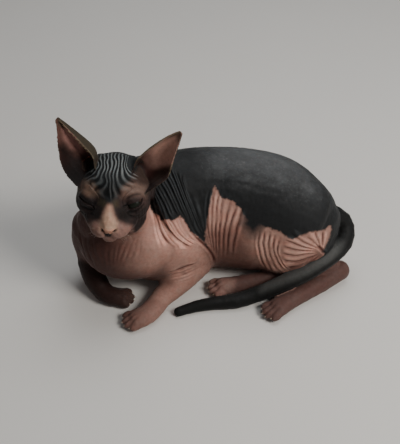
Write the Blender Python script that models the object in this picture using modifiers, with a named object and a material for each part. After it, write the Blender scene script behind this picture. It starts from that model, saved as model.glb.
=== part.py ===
"""Life-size model of a hairless sphynx cat at rest.

The cat lies with its chest raised on its bent forelegs and its hips rolled onto the right hip, so that
both hind feet come out on its left side, and the tail lies along that side. Every part of the body is its
own solid: the fused body is parted with thin cuts of PART_GAP.

Axes: X runs from the head end (-X) to the rump (+X), the left flank faces -Y, and +Z is up. The floor is
the plane Z = 0, and the origin lies on it, under the middle of the cat. Lengths in the tables are in
centimetres, and the solids are built in metres.
"""

import math

import bmesh
import bpy
from mathutils import Euler, Matrix, Vector
from mathutils.bvhtree import BVHTree

CM = 0.01

# Driving dimensions of a small adult female, in centimetres
HEAD_SCALE = 1.03
HEAD_PLACE = (-8.5, -3.5, 14.3)
HEAD_TURN = (-2, 3, -2)
EYE_CENTRE = (2.05, -2.05, -0.35)
EYE_RADIUS = 1.02
LID_THICKNESS = 0.16
EAR_THICKNESS = 0.2

# Meshing, in metres
PART_GAP = 0.0003
VOXEL = 0.0013
SOFT_VOXEL = 0.002
SOFT_PASSES = 12
SMOOTH_PASSES = 3
BODY_TRIANGLES = 5600
FOOT_TRIANGLES = 480
REGION_SEGMENTS = 12
EYE_SEGMENTS = 16
DOME_ANGLES = (24, 48, 72)

# The middle of the cat's box, so that the origin can sit under it
SHIFT = (-1.645, 2.24, 0.0)


def clear_scene():
    """Removes whatever the file opened with."""
    for obj in list(bpy.data.objects):
        bpy.data.objects.remove(obj, do_unlink=True)


def mesh_object(name, mesh):
    """Links a mesh as a new object."""
    obj = bpy.data.objects.new(name, mesh)
    bpy.context.scene.collection.objects.link(obj)
    return obj


def object_from(name, bm):
    """Turns a finished bmesh into an object."""
    bmesh.ops.recalc_face_normals(bm, faces=bm.faces)
    mesh = bpy.data.meshes.new(name)
    bm.to_mesh(mesh)
    bm.free()
    return mesh_object(name, mesh)


def turned(angles):
    """A rotation from Euler degrees."""
    return Euler([math.radians(a) for a in angles]).to_matrix().to_4x4()


def head_frame():
    """Carries the head's own frame to its place: origin mid skull, face along -Y."""
    return Matrix.Translation(Vector(HEAD_PLACE)) @ turned(HEAD_TURN) @ Matrix.Scale(HEAD_SCALE, 4)


def ball(centre, radii, turn=(0, 0, 0), frame=Matrix.Identity(4), segments=28):
    """An ellipsoid of these three radii, turned by Euler degrees and set in a frame."""
    bm = bmesh.new()
    bmesh.ops.create_uvsphere(bm, u_segments=segments, v_segments=segments // 2, radius=1)
    shape = Matrix.Diagonal((*radii, 1))
    bm.transform(Matrix.Scale(CM, 4) @ frame @ Matrix.Translation(Vector(centre)) @ turned(turn) @ shape)
    return object_from("ball", bm)


def curve_rows(rows, steps):
    """Rows of numbers read off a Catmull-Rom curve through the given rows."""
    count = len(rows)
    found = []
    for i in range(count - 1):
        four = [rows[max(0, min(count - 1, i + k))] for k in (-1, 0, 1, 2)]
        for step in range(steps):
            t = step / steps
            row = []
            for a, b, c, d in zip(*four):
                bend = (2 * a - 5 * b + 4 * c - d) * t * t + (3 * b - a - 3 * c + d) * t**3
                row.append(0.5 * (2 * b + (c - a) * t + bend))
            found.append(row)
    found.append(list(rows[-1]))
    return found


def skinned(rings):
    """A closed solid through rings of equal length."""
    bm = bmesh.new()
    made = [[bm.verts.new(p) for p in ring] for ring in rings]
    sides = len(rings[0])
    for a, b in zip(made, made[1:]):
        for k in range(sides):
            n = (k + 1) % sides
            bm.faces.new((a[k], a[n], b[n], b[k]))
    bm.faces.new(list(reversed(made[0])))
    bm.faces.new(made[-1])
    return object_from("loft", bm)


def tube(stations, frame=Matrix.Identity(4), sides=20, steps=4, cap=0.75):
    """A closed loft through stations (x, y, z, half width, half height, roll in degrees).

    Each ring is square to the path. Half width is level and half height points up, before the roll. Each
    end is domed, and the dome reaches cap times the mean radius beyond the last station.
    """
    rows = curve_rows([(list(s) + [0])[:6] for s in stations], steps)
    centres = [Vector(r[:3]) for r in rows]
    last = len(rows) - 1
    ways = [(centres[min(last, i + 1)] - centres[max(0, i - 1)]).normalized() for i in range(last + 1)]
    whole = Matrix.Scale(CM, 4) @ frame

    def ring(centre, way, row, share=1.0):
        wide, high, roll = row[3] * share, row[4] * share, row[5]
        side = way.cross(Vector((0, 0, 1))).normalized()
        turn = Matrix.Rotation(math.radians(roll), 3, way)
        across, top = turn @ side, turn @ side.cross(way).normalized()
        points = []
        for k in range(sides):
            a = 2 * math.pi * k / sides
            points.append(whole @ (centre + across * math.cos(a) * wide + top * math.sin(a) * high))
        return points

    def dome(centre, way, row):
        found = []
        for angle in DOME_ANGLES:
            out = cap * (row[3] + row[4]) / 2 * math.sin(math.radians(angle))
            found.append(ring(centre + way * out, way, row, math.cos(math.radians(angle))))
        return found

    middle_rings = [ring(c, w, row) for c, w, row in zip(centres, ways, rows)]
    front = dome(centres[0], -ways[0], rows[0])
    front = [[r[(sides // 2 - k) % sides] for k in range(sides)] for r in front]
    return skinned(list(reversed(front)) + middle_rings + dome(centres[-1], ways[-1], rows[-1]))


def evaluated_mesh(obj):
    """The object's mesh with its modifiers applied."""
    graph = bpy.context.evaluated_depsgraph_get()
    graph.update()
    return bpy.data.meshes.new_from_object(obj.evaluated_get(graph), depsgraph=graph)


def settle(obj):
    """Applies the object's modifiers."""
    obj.data = evaluated_mesh(obj)
    obj.modifiers.clear()
    return obj


def joined(name, pieces):
    """One object that holds the pieces' shells, still overlapping."""
    bm = bmesh.new()
    for piece in pieces:
        bm.from_mesh(piece.data)
        bpy.data.objects.remove(piece, do_unlink=True)
    mesh = bpy.data.meshes.new(name)
    bm.to_mesh(mesh)
    bm.free()
    return mesh_object(name, mesh)


def fused(name, pieces, voxel, passes, triangles=None):
    """The pieces grown into one smooth body: voxels join them, and smoothing rounds the valleys."""
    obj = joined(name, pieces)
    remesh = obj.modifiers.new("Remesh", "REMESH")
    remesh.mode = "VOXEL"
    remesh.voxel_size = voxel
    smooth = obj.modifiers.new("Smooth", "SMOOTH")
    smooth.factor = 0.5
    smooth.iterations = passes
    settle(obj)
    if triangles is None:
        return obj
    thin = obj.modifiers.new("Decimate", "DECIMATE")
    thin.ratio = min(1.0, triangles / (2 * len(obj.data.polygons)))
    thin.use_collapse_triangulate = True
    return settle(obj)


def head_masses():
    """The soft lumps under the skin of the head, in the head's own frame."""
    at = head_frame()
    pieces = [
        ball((0, 0.5, 0.15), (2.85, 3.1, 2.45), frame=at),
        ball((0, -1.2, 0.6), (2.45, 1.9, 1.75), frame=at),
        ball((0, -2.4, -1.1), (2.0, 2.1, 1.7), frame=at),
        tube([(0, -1.8, 0.85, 1.2, 0.9), (0, -3.3, -0.05, 0.85, 0.8), (0, -4.7, -1.1, 0.7, 0.62)], at),
        ball((0, -4.0, -2.1), (1.4, 1.2, 1.0), frame=at),
        ball((0, -3.4, -2.5), (1.2, 1.4, 0.8), frame=at),
        ball((2.05, -1.8, -3.0), (1.25, 1.5, 1.0), frame=at),
        ball((-1.4, -1.8, -3.0), (1.25, 1.5, 1.0), frame=at),
    ]
    for side in (-1, 1):
        pieces += [
            ball((2.1 * side, -0.4, -0.25), (1.45, 2.0, 1.35), frame=at),
            ball((1.4 * side, 0.9, 0.85), (1.4, 1.9, 1.5), frame=at),
            ball((2.15 * side, -1.1, -0.9), (1.4, 2.1, 1.45), (0, 0, 10 * side), at),
            ball((1.75 * side, -0.9, -2.0), (1.5, 2.1, 1.25), (0, 0, 8 * side), at),
            ball((1.4 * side, -2.8, -1.8), (1.0, 1.4, 0.95), (0, 0, 25 * side), at),
            ball((0.9 * side, -4.1, -2.05), (1.05, 1.1, 0.85), (0, 0, 20 * side), at),
            ball((1.5 * side, -1.6, 0.45), (1.4, 1.2, 0.85), (0, -10 * side, 20 * side), at),
            tube([(0.8 * side, -3.6, -2.7, 0.7, 0.5), (1.9 * side, -0.6, -2.5, 0.9, 0.8)], at),
        ]
    return pieces


def face_masses():
    """The crisp lumps of the face: lids, nose, whisker pads and chin."""
    at = head_frame()
    pieces = [
        ball((0, -5.0, -1.45), (0.52, 0.42, 0.42), frame=at),
        ball((0, -4.35, -2.95), (0.75, 0.65, 0.45), frame=at),
    ]
    for side in (-1, 1):
        pieces += [
            ball((0.75 * side, -4.5, -2.1), (0.82, 0.8, 0.66), (0, 0, 24 * side), at),
            ball((EYE_CENTRE[0] * side, *EYE_CENTRE[1:]), [EYE_RADIUS + LID_THICKNESS] * 3, frame=at),
        ]
    return pieces


# Each ear: tip, then the near-midline rim and the outer rim from base to tip, in the head's own frame
EARS = {
    "ear_right": {
        "side": -1,
        "back": (-0.25, 1, 0.1),
        "inner": [
            (1.3, -1.2, 0.6),
            (1.8, -0.6, 2.0),
            (2.1, 0.1, 3.0),
            (3.3, 0.5, 4.3),
            (4.5, 0.7, 5.6),
            (5.2, 0.6, 6.6),
        ],
        "outer": [
            (2.6, -1.9, 0.0),
            (4.0, -1.3, 1.1),
            (4.8, -0.8, 2.1),
            (5.15, -0.2, 3.6),
            (5.25, 0.2, 5.2),
            (5.35, 0.5, 6.5),
        ],
    },
    "ear_left": {
        "side": 1,
        "back": (0.2, 1, -0.15),
        "inner": [
            (1.3, -1.2, 0.6),
            (1.8, -0.6, 2.0),
            (2.1, 0.2, 2.8),
            (3.5, 0.6, 4.1),
            (5.0, 0.7, 5.3),
            (6.0, 0.6, 6.0),
        ],
        "outer": [
            (2.6, -1.9, 0.0),
            (4.0, -1.3, 0.9),
            (5.1, -0.8, 1.7),
            (5.5, -0.2, 3.0),
            (5.9, 0.1, 4.5),
            (6.25, 0.5, 5.8),
        ],
    },
}
EAR_DEPTHS = [1.8, 2.3, 2.1, 1.5, 0.8, 0.25]
EAR_ROWS = 3
EAR_COLUMNS = 8


def ear(side, back, inner, outer):
    """A cupped ear: an open cone whose mouth runs between the inner and the outer rim."""
    at = Matrix.Scale(CM, 4) @ head_frame()
    inner, outer = curve_rows(inner, EAR_ROWS), curve_rows(outer, EAR_ROWS)
    depths = [row[0] for row in curve_rows([(d,) for d in EAR_DEPTHS], EAR_ROWS)]
    back = Vector(back).normalized()
    rings = []
    for a, b, depth in zip(inner, outer, depths):
        a, b = Vector(a), Vector(b)
        mouth = b - a
        front, rear = [], []
        for k in range(EAR_COLUMNS + 1):
            u = k / EAR_COLUMNS
            angle = math.pi * u
            cup = depth * math.sin(angle) ** 0.8
            spot = a + mouth * (0.5 - 0.5 * math.cos(angle)) + back * cup
            thick = EAR_THICKNESS * (0.45 + 0.55 * math.sin(angle)) * (1.0 if depth > 0.5 else 0.75)
            middle = a + mouth * 0.5 + back * depth * 0.2
            out = (spot - middle).normalized()
            front.append(spot - out * thick * 0.5)
            rear.append(spot + out * thick * 0.5)
        ring = front + list(reversed(rear))
        rings.append([at @ Vector((p.x * side, p.y, p.z)) for p in ring])
    return skinned(rings)


def trunk_masses():
    """Chest, belly and rump as one bent loft, and the neck."""
    trunk = [
        (-7.4, -3.9, 7.2, 4.8, 4.2),
        (-6.4, -2.6, 6.9, 5.4, 6.1),
        (-4.2, -0.8, 7.05, 5.6, 7.25),
        (-1.5, 0.5, 7.2, 5.4, 7.5),
        (1.6, 1.0, 7.15, 5.4, 7.45),
        (4.6, 0.9, 7.05, 5.6, 7.35),
        (7.8, 0.3, 6.75, 5.6, 7.15),
        (10.6, -0.9, 6.1, 5.0, 6.1),
        (12.6, -1.5, 5.5, 4.1, 4.9),
        (13.5, -1.9, 5.3, 3.2, 4.0),
    ]
    neck = [
        (-8.4, -3.0, 13.6, 2.5, 2.6),
        (-7.8, -1.8, 12.4, 2.7, 3.1),
        (-6.4, -0.6, 10.8, 3.7, 4.3),
        (-4.4, 0.2, 9.4, 4.6, 5.0),
    ]
    return [
        tube(trunk, sides=36, steps=5, cap=0.35),
        tube(neck, sides=28),
        ball((-7.6, -4.2, 6.8), (5.1, 3.7, 4.1)),
        ball((-5.0, -4.3, 6.0), (3.2, 2.7, 3.2)),
        ball((-8.6, -3.6, 9.4), (4.2, 2.9, 3.4)),
    ]


FORELEGS = {
    "foreleg_left": [
        [(-4.6, -4.0, 7.6, 2.6, 3.1), (-2.2, -3.6, 5.4, 2.3, 2.7), (-0.1, -3.0, 3.7, 1.6, 1.9)],
        [(-0.1, -3.2, 3.0, 1.45, 1.85), (-2.2, -5.0, 1.9, 1.4, 1.6), (-4.2, -6.8, 1.1, 1.15, 1.15)],
        [(-4.4, -7.3, 1.05, 1.15, 1.05), (-5.6, -8.9, 0.85, 1.2, 0.95), (-6.8, -9.6, 0.75, 1.25, 0.85)],
    ],
    "foreleg_right": [
        [(-10.6, -3.4, 7.6, 2.5, 3.3), (-11.5, -2.9, 5.4, 2.0, 2.7), (-12.0, -2.6, 3.8, 1.5, 1.9)],
        [(-12.2, -2.9, 3.0, 1.4, 1.8), (-11.6, -4.6, 1.9, 1.25, 1.6), (-10.7, -5.8, 1.05, 1.05, 1.1)],
        [(-10.7, -5.9, 1.05, 1.05, 1.05), (-9.6, -6.4, 0.85, 1.1, 0.95), (-8.3, -6.5, 0.75, 1.15, 0.85)],
    ],
}
LEFT_THIGH = ((10.3, -2.1, 5.3), (4.4, 2.8, 3.6), (10, 10, -4))
RIGHT_THIGH = ((8.6, 2.4, 3.45), (4.6, 2.7, 3.6), (-12, 0, 0))
LEFT_SHIN = [(8.3, -3.2, 4.0, 1.9, 2.0), (11.2, -3.4, 3.1, 1.5, 1.8), (14.7, -2.8, 2.1, 1.1, 1.3)]

# Each foot: its loft, the way its toes point and the middle of its toes, and how far they spread
HIND_FEET = {
    "hindleg_left_foot": {
        "bones": [
            (15.9, -2.8, 1.3, 1.0, 1.2),
            (13.4, -4.6, 1.0, 0.95, 1.05),
            (10.2, -6.7, 0.85, 0.95, 0.95),
            (8.3, -8.0, 0.75, 1.15, 0.85),
        ],
        "toes": (7.5, -8.5, 0.65),
        "way": (-0.84, -0.54, 0),
    },
    "hindleg_right_foot": {
        "bones": [
            (8.8, -3.7, 1.0, 0.9, 1.1),
            (6.0, -4.2, 0.9, 0.85, 1.0),
            (3.8, -4.7, 0.85, 0.9, 0.95),
            (2.4, -4.9, 0.8, 1.0, 0.95),
        ],
        "toes": (1.7, -5.1, 0.7),
        "way": (-0.95, -0.3, 0),
    },
}
PAWS = {
    "foreleg_left_paw": {"toes": (-7.4, -9.8, 0.62), "way": (-0.87, -0.5, 0)},
    "foreleg_right_paw": {"toes": (-8.0, -6.5, 0.62), "way": (0.99, -0.1, 0)},
}
TOE_SPREAD = 0.56
TOE_RADII = (0.85, 0.42, 0.5)


def toes(toes, way, **rest):
    """Four toes side by side at the end of a paw, the middle two ahead."""
    way = Vector(way).normalized()
    side = way.cross(Vector((0, 0, 1)))
    turn = math.degrees(math.atan2(way.y, way.x))
    made = []
    for place, ahead in ((-1.5, -0.35), (-0.5, 0.0), (0.5, 0.0), (1.5, -0.35)):
        spot = Vector(toes) + side * place * TOE_SPREAD + way * ahead
        made.append(ball(spot, TOE_RADII, (0, 0, turn - 9 * place)))
    return made


def body_masses():
    """The soft lumps of the legs that belong to the fused body."""
    pieces = [tube(stations) for leg in FORELEGS.values() for stations in leg]
    return pieces + [tube(LEFT_SHIN), ball(*LEFT_THIGH), ball(*RIGHT_THIGH)]


TAIL = [
    (13.0, -0.8, 6.6, 1.7, 1.7),
    (15.0, 0.1, 6.5, 1.35, 1.35),
    (16.0, -0.4, 5.5, 1.15, 1.15),
    (15.75, -1.8, 4.6, 1.1, 1.1),
    (14.4, -3.2, 4.2, 1.08, 1.08),
    (12.9, -4.3, 3.8, 1.04, 1.04),
    (11.3, -5.2, 3.2, 0.95, 0.95),
    (9.7, -5.6, 2.55, 0.93, 0.93),
    (7.8, -6.0, 1.65, 0.88, 0.88),
    (5.9, -6.4, 1.0, 0.84, 0.84),
    (3.8, -7.0, 0.72, 0.8, 0.8),
    (1.6, -7.2, 0.62, 0.7, 0.7),
    (-0.5, -7.6, 0.52, 0.6, 0.6),
    (-2.4, -8.3, 0.4, 0.48, 0.48),
]

TAIL_CUTS = [
    ((15.4, -2.4, 4.45), (-0.7, -0.6, -0.25), 1.6),
    ((9.0, -5.75, 2.3), (-0.9, -0.3, -0.4), 1.5),
    ((3.0, -7.1, 1.0), (-1, -0.1, -0.1), 1.3),
]
TAIL_PARTS = ("tail_base", "tail_upper", "tail_lower", "tail_tip")

# The lid edges of each eye: (outward angle, height angle, half opening) round the eyeball, in degrees
LID_EDGES = {
    -1: [(-48, -20, 1), (-25, -4, 3), (-5, 8, 3.5), (25, 20, 3.5), (50, 26, 3), (68, 27, 1)],
    1: [(-50, -20, 1), (-33, 4, 8), (-5, 17, 17), (25, 25, 15), (48, 32, 8), (62, 38, 1)],
}

# The line of the mouth as (x, z): from the right corner to the middle, then out to the left corner
LIP = [(0, -2.42), (0.8, -2.62), (1.5, -2.6), (2.0, -2.35)]
MOUTH = ((-1, LIP[:0:-1]), (1, LIP))

# Lines in front of the face, as (x, z) in the head's own frame, and the radius of the groove in cm
GROOVES = [
    ([(0, -1.95), (0, -2.4)], 0.05),
    ([(x * side, z) for side, half in MOUTH for x, z in half], 0.07),
    ([(-0.2, -1.72), (-0.34, -1.7), (-0.46, -1.6)], 0.1),
    ([(0.2, -1.72), (0.34, -1.7), (0.46, -1.6)], 0.1),
]


def shell(centre, radii, turn=(0, 0, 0)):
    """A closed skin of the part gap's thickness round an ellipsoid."""
    wide = [r + PART_GAP / CM for r in radii]
    outer, inner = (ball(centre, size, turn, segments=REGION_SEGMENTS) for size in (wide, radii))
    inner.data.flip_normals()
    return joined("shell", [outer, inner])


def plate(centre, facing, radius):
    """A round plate of the part gap's thickness, square to the way it faces."""
    bm = bmesh.new()
    half = PART_GAP / 2
    bmesh.ops.create_cone(
        bm, cap_ends=True, segments=40, radius1=radius * CM, radius2=radius * CM, depth=2 * half
    )
    turn = Vector(facing).to_track_quat("Z", "Y").to_matrix().to_4x4()
    bm.transform(Matrix.Translation(Vector(centre) * CM) @ turn)
    return object_from("plate", bm)


def cut(obj, tool, operation="DIFFERENCE", keep=False):
    """Cuts, joins or crosses the object with a tool."""
    cutter = obj.modifiers.new("Cut", "BOOLEAN")
    cutter.operation = operation
    cutter.solver = "MANIFOLD"
    cutter.object = tool
    settle(obj)
    if not keep:
        bpy.data.objects.remove(tool, do_unlink=True)
    return obj


def grown(obj, by):
    """A copy of the object, grown by a distance along its normals."""
    copy = mesh_object("grown", obj.data.copy())
    push = copy.modifiers.new("Push", "DISPLACE")
    push.strength = by
    push.mid_level = 0
    return settle(copy)


def floor_tool():
    """A block below the floor."""
    bm = bmesh.new()
    bmesh.ops.create_cube(bm, size=1)
    bm.transform(Matrix.Translation((0, 0, -0.05)) @ Matrix.Diagonal((0.8, 0.8, 0.1, 1)))
    return object_from("floor", bm)


def eyeball(side, extra=0.0):
    """An eye, grown by extra."""
    centre = (EYE_CENTRE[0] * side, *EYE_CENTRE[1:])
    return ball(centre, [EYE_RADIUS + extra] * 3, frame=head_frame(), segments=EYE_SEGMENTS)


def lid_slit(side):
    """The opening between the lids, from the socket to the air."""
    at = Matrix.Scale(CM, 4) @ head_frame()
    centre = Vector((EYE_CENTRE[0] * side, *EYE_CENTRE[1:]))
    rings = []
    for out, high, half in curve_rows(LID_EDGES[side], 4):
        ring = []
        for reach, edge in ((0.94, -1), (1.6, -1.15), (1.6, 1.15), (0.94, 1)):
            a, b = math.radians(out), math.radians(high + edge * half)
            way = Vector((math.sin(a) * math.cos(b) * side, -math.cos(a) * math.cos(b), math.sin(b)))
            ring.append(at @ (centre + way * EYE_RADIUS * reach))
        rings.append(ring)
    return skinned(rings)


def groove(surface, line, radius):
    """A thin tube that follows a line over the face, half sunk in the skin."""
    at = Matrix.Scale(CM, 4) @ head_frame()
    tree = BVHTree.FromObject(surface, bpy.context.evaluated_depsgraph_get())
    way = (at.to_3x3() @ Vector((0, 1, 0))).normalized()
    back = head_frame().inverted()
    stations = []
    for x, z in curve_rows(line, 3):
        hit = tree.ray_cast(at @ Vector((x, -9, z)), way)[0]
        spot = back @ (hit / CM)
        stations.append((*spot, radius, radius))
    return tube(stations, head_frame(), sides=8, steps=1, cap=1)


def islands(obj):
    """The object's separate closed surfaces, each as its own object, largest first."""
    bm = bmesh.new()
    bm.from_mesh(obj.data)
    bm.verts.ensure_lookup_table()
    seen, found = set(), []
    for start in bm.verts:
        if start.index in seen:
            continue
        seen.add(start.index)
        stack, group = [start], []
        while stack:
            vert = stack.pop()
            group.append(vert.index)
            for edge in vert.link_edges:
                other = edge.other_vert(vert)
                if other.index not in seen:
                    seen.add(other.index)
                    stack.append(other)
        found.append(group)
    bm.free()
    made = []
    for group in sorted(found, key=len, reverse=True):
        number = {v: i for i, v in enumerate(group)}
        faces = [[number[v] for v in p.vertices] for p in obj.data.polygons if p.vertices[0] in number]
        mesh = bpy.data.meshes.new("island")
        mesh.from_pydata([obj.data.vertices[v].co for v in group], [], faces)
        made.append(mesh_object("island", mesh))
    return made


def largest(obj, name):
    """Keeps the largest closed surface of an object."""
    first, *rest = islands(obj)
    for piece in [obj, *rest]:
        bpy.data.objects.remove(piece, do_unlink=True)
    first.name = name
    return first


# The middle of each part of the fused body
MIDDLES = {
    "head": (-8.6, -5.7, 13.4),
    "neck": (-7.1, -1.3, 11.3),
    "chest": (-5.3, -2.2, 7.3),
    "belly": (5.9, 0.9, 6.1),
    "rump": (11.4, -0.4, 6.1),
    "foreleg_left_upper": (-1.8, -4.0, 5.2),
    "foreleg_left_forearm": (-2.4, -4.9, 2.6),
    "foreleg_left_paw": (-6.2, -9.0, 1.0),
    "foreleg_right_upper": (-11.7, -2.9, 5.2),
    "foreleg_right_forearm": (-11.4, -4.3, 2.5),
    "foreleg_right_paw": (-8.9, -6.4, 1.0),
    "hindleg_left_thigh": (10.4, -3.0, 4.7),
    "hindleg_left_shin": (13.3, -2.7, 2.6),
    "hindleg_right_thigh": (8.7, 3.3, 3.6),
}
# Ellipsoids that take a part out of the fused body, in the order they are cut
REGIONS = [
    ((-8.5, -5.2, 14.0), (4.6, 6.4, 3.7), (0, 0, 0)),
    ((-7.0, -1.4, 11.6), (4.9, 4.6, 3.7), (0, 0, 0)),
    ((-2.3, -5.1, 2.1), (4.3, 1.9, 1.9), (0, -14, 41)),
    ((-11.6, -4.4, 2.2), (3.0, 1.8, 1.9), (0, 28, -63)),
    ((-1.9, -3.9, 5.5), (3.8, 2.9, 3.0), (0, 40, 12)),
    ((-11.8, -2.9, 5.3), (2.6, 2.8, 3.6), (0, 0, 0)),
    ((13.8, -3.0, 2.2), (3.0, 1.8, 1.9), (0, 12, 4)),
    ((10.2, -2.9, 5.0), (4.9, 3.3, 3.9), (10, 12, -4)),
    ((8.4, 3.5, 3.2), (4.9, 2.9, 3.6), (-12, 0, 3)),
]
PLATES = [
    ((2.4, 1.0, 7.4), (1, 0, 0), 9.5),
    ((8.6, 0.6, 7.4), (1, -0.1, 0), 9.5),
]


def body_parts():
    """The fused body, cut into its parts."""
    soft = fused("soft", head_masses() + trunk_masses() + body_masses(), SOFT_VOXEL, SOFT_PASSES)
    crisp = face_masses() + [toe for paw in PAWS.values() for toe in toes(**paw)]
    body = fused("body", [soft] + crisp, VOXEL, SMOOTH_PASSES, BODY_TRIANGLES)
    cut(body, floor_tool())
    whole = mesh_object("whole", body.data.copy())
    lines = [groove(whole, line, radius) for line, radius in GROOVES]
    for tool in lines:
        cut(body, tool)
    for side in (-1, 1):
        cut(body, eyeball(side, PART_GAP / CM))
        cut(body, lid_slit(side))
    regions = []
    for tool in [shell(*region) for region in REGIONS] + [plate(*place) for place in PLATES]:
        for region in regions:
            cut(tool, region, keep=True)
        cut(body, tool)
        if len(regions) < len(REGIONS):
            regions.append(ball(*REGIONS[len(regions)], segments=REGION_SEGMENTS))
    for region in regions:
        bpy.data.objects.remove(region, do_unlink=True)
    return body, whole


def middle(obj):
    """The mean of the object's vertices, in centimetres."""
    return sum((v.co for v in obj.data.vertices), Vector()) / len(obj.data.vertices) / CM


def named_islands(obj, middles):
    """The object's parts, each named by the middle it lies nearest; crumbs are dropped."""
    found = {}
    pieces = islands(obj)
    for name, spot in middles.items():
        near = [p for p in pieces[: len(middles) + 1] if p.name not in found.values()]
        best = min(near, key=lambda p: (middle(p) - Vector(spot)).length)
        best.name = name
        found[name] = best.name
    for piece in pieces:
        if piece.name not in found.values():
            bpy.data.objects.remove(piece, do_unlink=True)
    bpy.data.objects.remove(obj, do_unlink=True)


def add_tail(skin):
    """The tail in four lengths."""
    tail = cut(tube(TAIL, sides=14, steps=2), skin, keep=True)
    cut(tail, floor_tool())
    tail = largest(tail, "tail")
    for place in TAIL_CUTS:
        cut(tail, plate(*place))
    order = sorted(islands(tail)[: len(TAIL_PARTS)], key=lambda p: -middle(p).x)
    for name, piece in zip(TAIL_PARTS, order):
        piece.name = name
    bpy.data.objects.remove(tail, do_unlink=True)


# Colour and roughness of each kind of part
SKINS = {
    "dark": ((0.05, 0.052, 0.058), 0.62),
    "pink": ((0.5, 0.31, 0.27), 0.55),
    "face": ((0.2, 0.15, 0.13), 0.58),
    "ear": ((0.2, 0.12, 0.1), 0.6),
    "eye": ((0.05, 0.07, 0.05), 0.08),
}
KINDS = {
    "head": "face",
    "neck": "dark",
    "belly": "dark",
    "rump": "dark",
    "ear_left": "ear",
    "ear_right": "ear",
    "eye_left": "eye",
    "eye_right": "eye",
}


def finish(obj, home):
    """Moves a part into its collection and gives it its own material."""
    for collection in list(obj.users_collection):
        collection.objects.unlink(obj)
    home.objects.link(obj)
    kind = KINDS.get(obj.name, "dark" if obj.name.startswith("tail") else "pink")
    colour, roughness = SKINS[kind]
    material = bpy.data.materials.new(obj.name + "_" + kind)
    material.use_nodes = True
    shader = material.node_tree.nodes["Principled BSDF"]
    shader.inputs["Base Color"].default_value = (*colour, 1)
    shader.inputs["Roughness"].default_value = roughness
    obj.data.materials.clear()
    obj.data.materials.append(material)
    obj.data.transform(Matrix.Translation(Vector(SHIFT) * CM))


def build():
    """Builds the cat."""
    clear_scene()
    body, whole = body_parts()
    skin = grown(whole, PART_GAP)
    named_islands(body, MIDDLES)
    add_tail(skin)
    for name, foot in HIND_FEET.items():
        raw = fused("foot", [tube(foot["bones"])] + toes(**foot), VOXEL, SMOOTH_PASSES, FOOT_TRIANGLES)
        cut(raw, floor_tool())
        largest(cut(raw, skin, keep=True), name)
    for name, shape in EARS.items():
        largest(cut(ear(**shape), skin, keep=True), name)
    for side, name in ((-1, "eye_right"), (1, "eye_left")):
        eyeball(side).name = name
    bpy.data.objects.remove(whole, do_unlink=True)
    bpy.data.objects.remove(skin, do_unlink=True)
    home = bpy.data.collections.new("sphynx_cat")
    bpy.context.scene.collection.children.link(home)
    for obj in list(bpy.data.objects):
        finish(obj, home)


if __name__ == "__main__":
    build()
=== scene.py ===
"""Looks of a life-size sphynx cat that lies at rest with its tail along its left flank.

One skin replaces the flesh parts of the model. It is grown from them, carved with the folds, lids,
nostrils, lips and toes of the real animal, and coloured by named markings with painted light and shade
laid over them. The eyes, claws, whiskers and down are pieces of their own. Lengths are in metres unless a
name says otherwise, and outlines read off the picture of the cat are in its pixels, 400 wide and 444 high.
"""

import logging
import math
from dataclasses import dataclass
from enum import Enum
from itertools import product
from typing import ClassVar

import bmesh
import bpy
import numpy as np
from mathutils import Euler, Matrix, Vector
from mathutils.bvhtree import BVHTree


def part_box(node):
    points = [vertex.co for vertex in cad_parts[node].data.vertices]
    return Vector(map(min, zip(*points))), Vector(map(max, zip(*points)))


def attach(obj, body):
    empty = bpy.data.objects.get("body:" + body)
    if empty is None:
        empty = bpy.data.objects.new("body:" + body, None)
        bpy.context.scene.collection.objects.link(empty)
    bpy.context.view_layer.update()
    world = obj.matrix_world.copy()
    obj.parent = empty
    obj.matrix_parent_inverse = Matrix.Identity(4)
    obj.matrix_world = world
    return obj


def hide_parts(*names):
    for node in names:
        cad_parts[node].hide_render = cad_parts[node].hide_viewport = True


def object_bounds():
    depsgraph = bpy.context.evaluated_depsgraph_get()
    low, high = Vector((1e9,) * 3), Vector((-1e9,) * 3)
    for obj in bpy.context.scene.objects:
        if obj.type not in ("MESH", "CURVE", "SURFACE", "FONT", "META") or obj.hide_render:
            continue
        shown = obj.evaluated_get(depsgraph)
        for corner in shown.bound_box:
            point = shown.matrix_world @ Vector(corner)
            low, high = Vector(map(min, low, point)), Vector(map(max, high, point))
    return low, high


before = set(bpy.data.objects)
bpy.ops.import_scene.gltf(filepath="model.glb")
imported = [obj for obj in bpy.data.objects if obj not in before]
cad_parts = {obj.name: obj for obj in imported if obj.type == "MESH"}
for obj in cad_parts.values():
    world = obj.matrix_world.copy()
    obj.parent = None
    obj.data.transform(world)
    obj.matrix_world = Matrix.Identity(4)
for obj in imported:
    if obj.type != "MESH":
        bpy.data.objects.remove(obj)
CAD_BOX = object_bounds()

LOG = logging.getLogger("sphynx_cat")
BAKE_MAP = "OFBake"
BAKE_PATCH = 0.003
BAKE_EDGE = 0.02
MM = 0.001
CM = 0.01
WELD = 1e-6
UP = np.array([0.0, 0.0, 1.0])
Outline = tuple[tuple[float, float], ...]
Spot = tuple[float, float, float]
Colour = tuple[float, float, float]


class Part(Enum):
    """Groups of the model's nodes that share one kind of skin."""

    HEAD = ("head",)
    EARS = ("ear_left", "ear_right")
    NECK = ("neck",)
    TRUNK = ("chest", "belly", "rump")
    ARMS = ("foreleg_left_upper", "foreleg_right_upper")
    FOREARMS = ("foreleg_left_forearm", "foreleg_right_forearm")
    PAWS = ("foreleg_left_paw", "foreleg_right_paw")
    THIGHS = ("hindleg_left_thigh", "hindleg_right_thigh")
    HOCKS = ("hindleg_left_shin", "hindleg_left_foot", "hindleg_right_foot")
    TAIL = ("tail_base", "tail_upper", "tail_lower", "tail_tip")


FLESH = tuple(name for part in Part for name in part.value)


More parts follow.
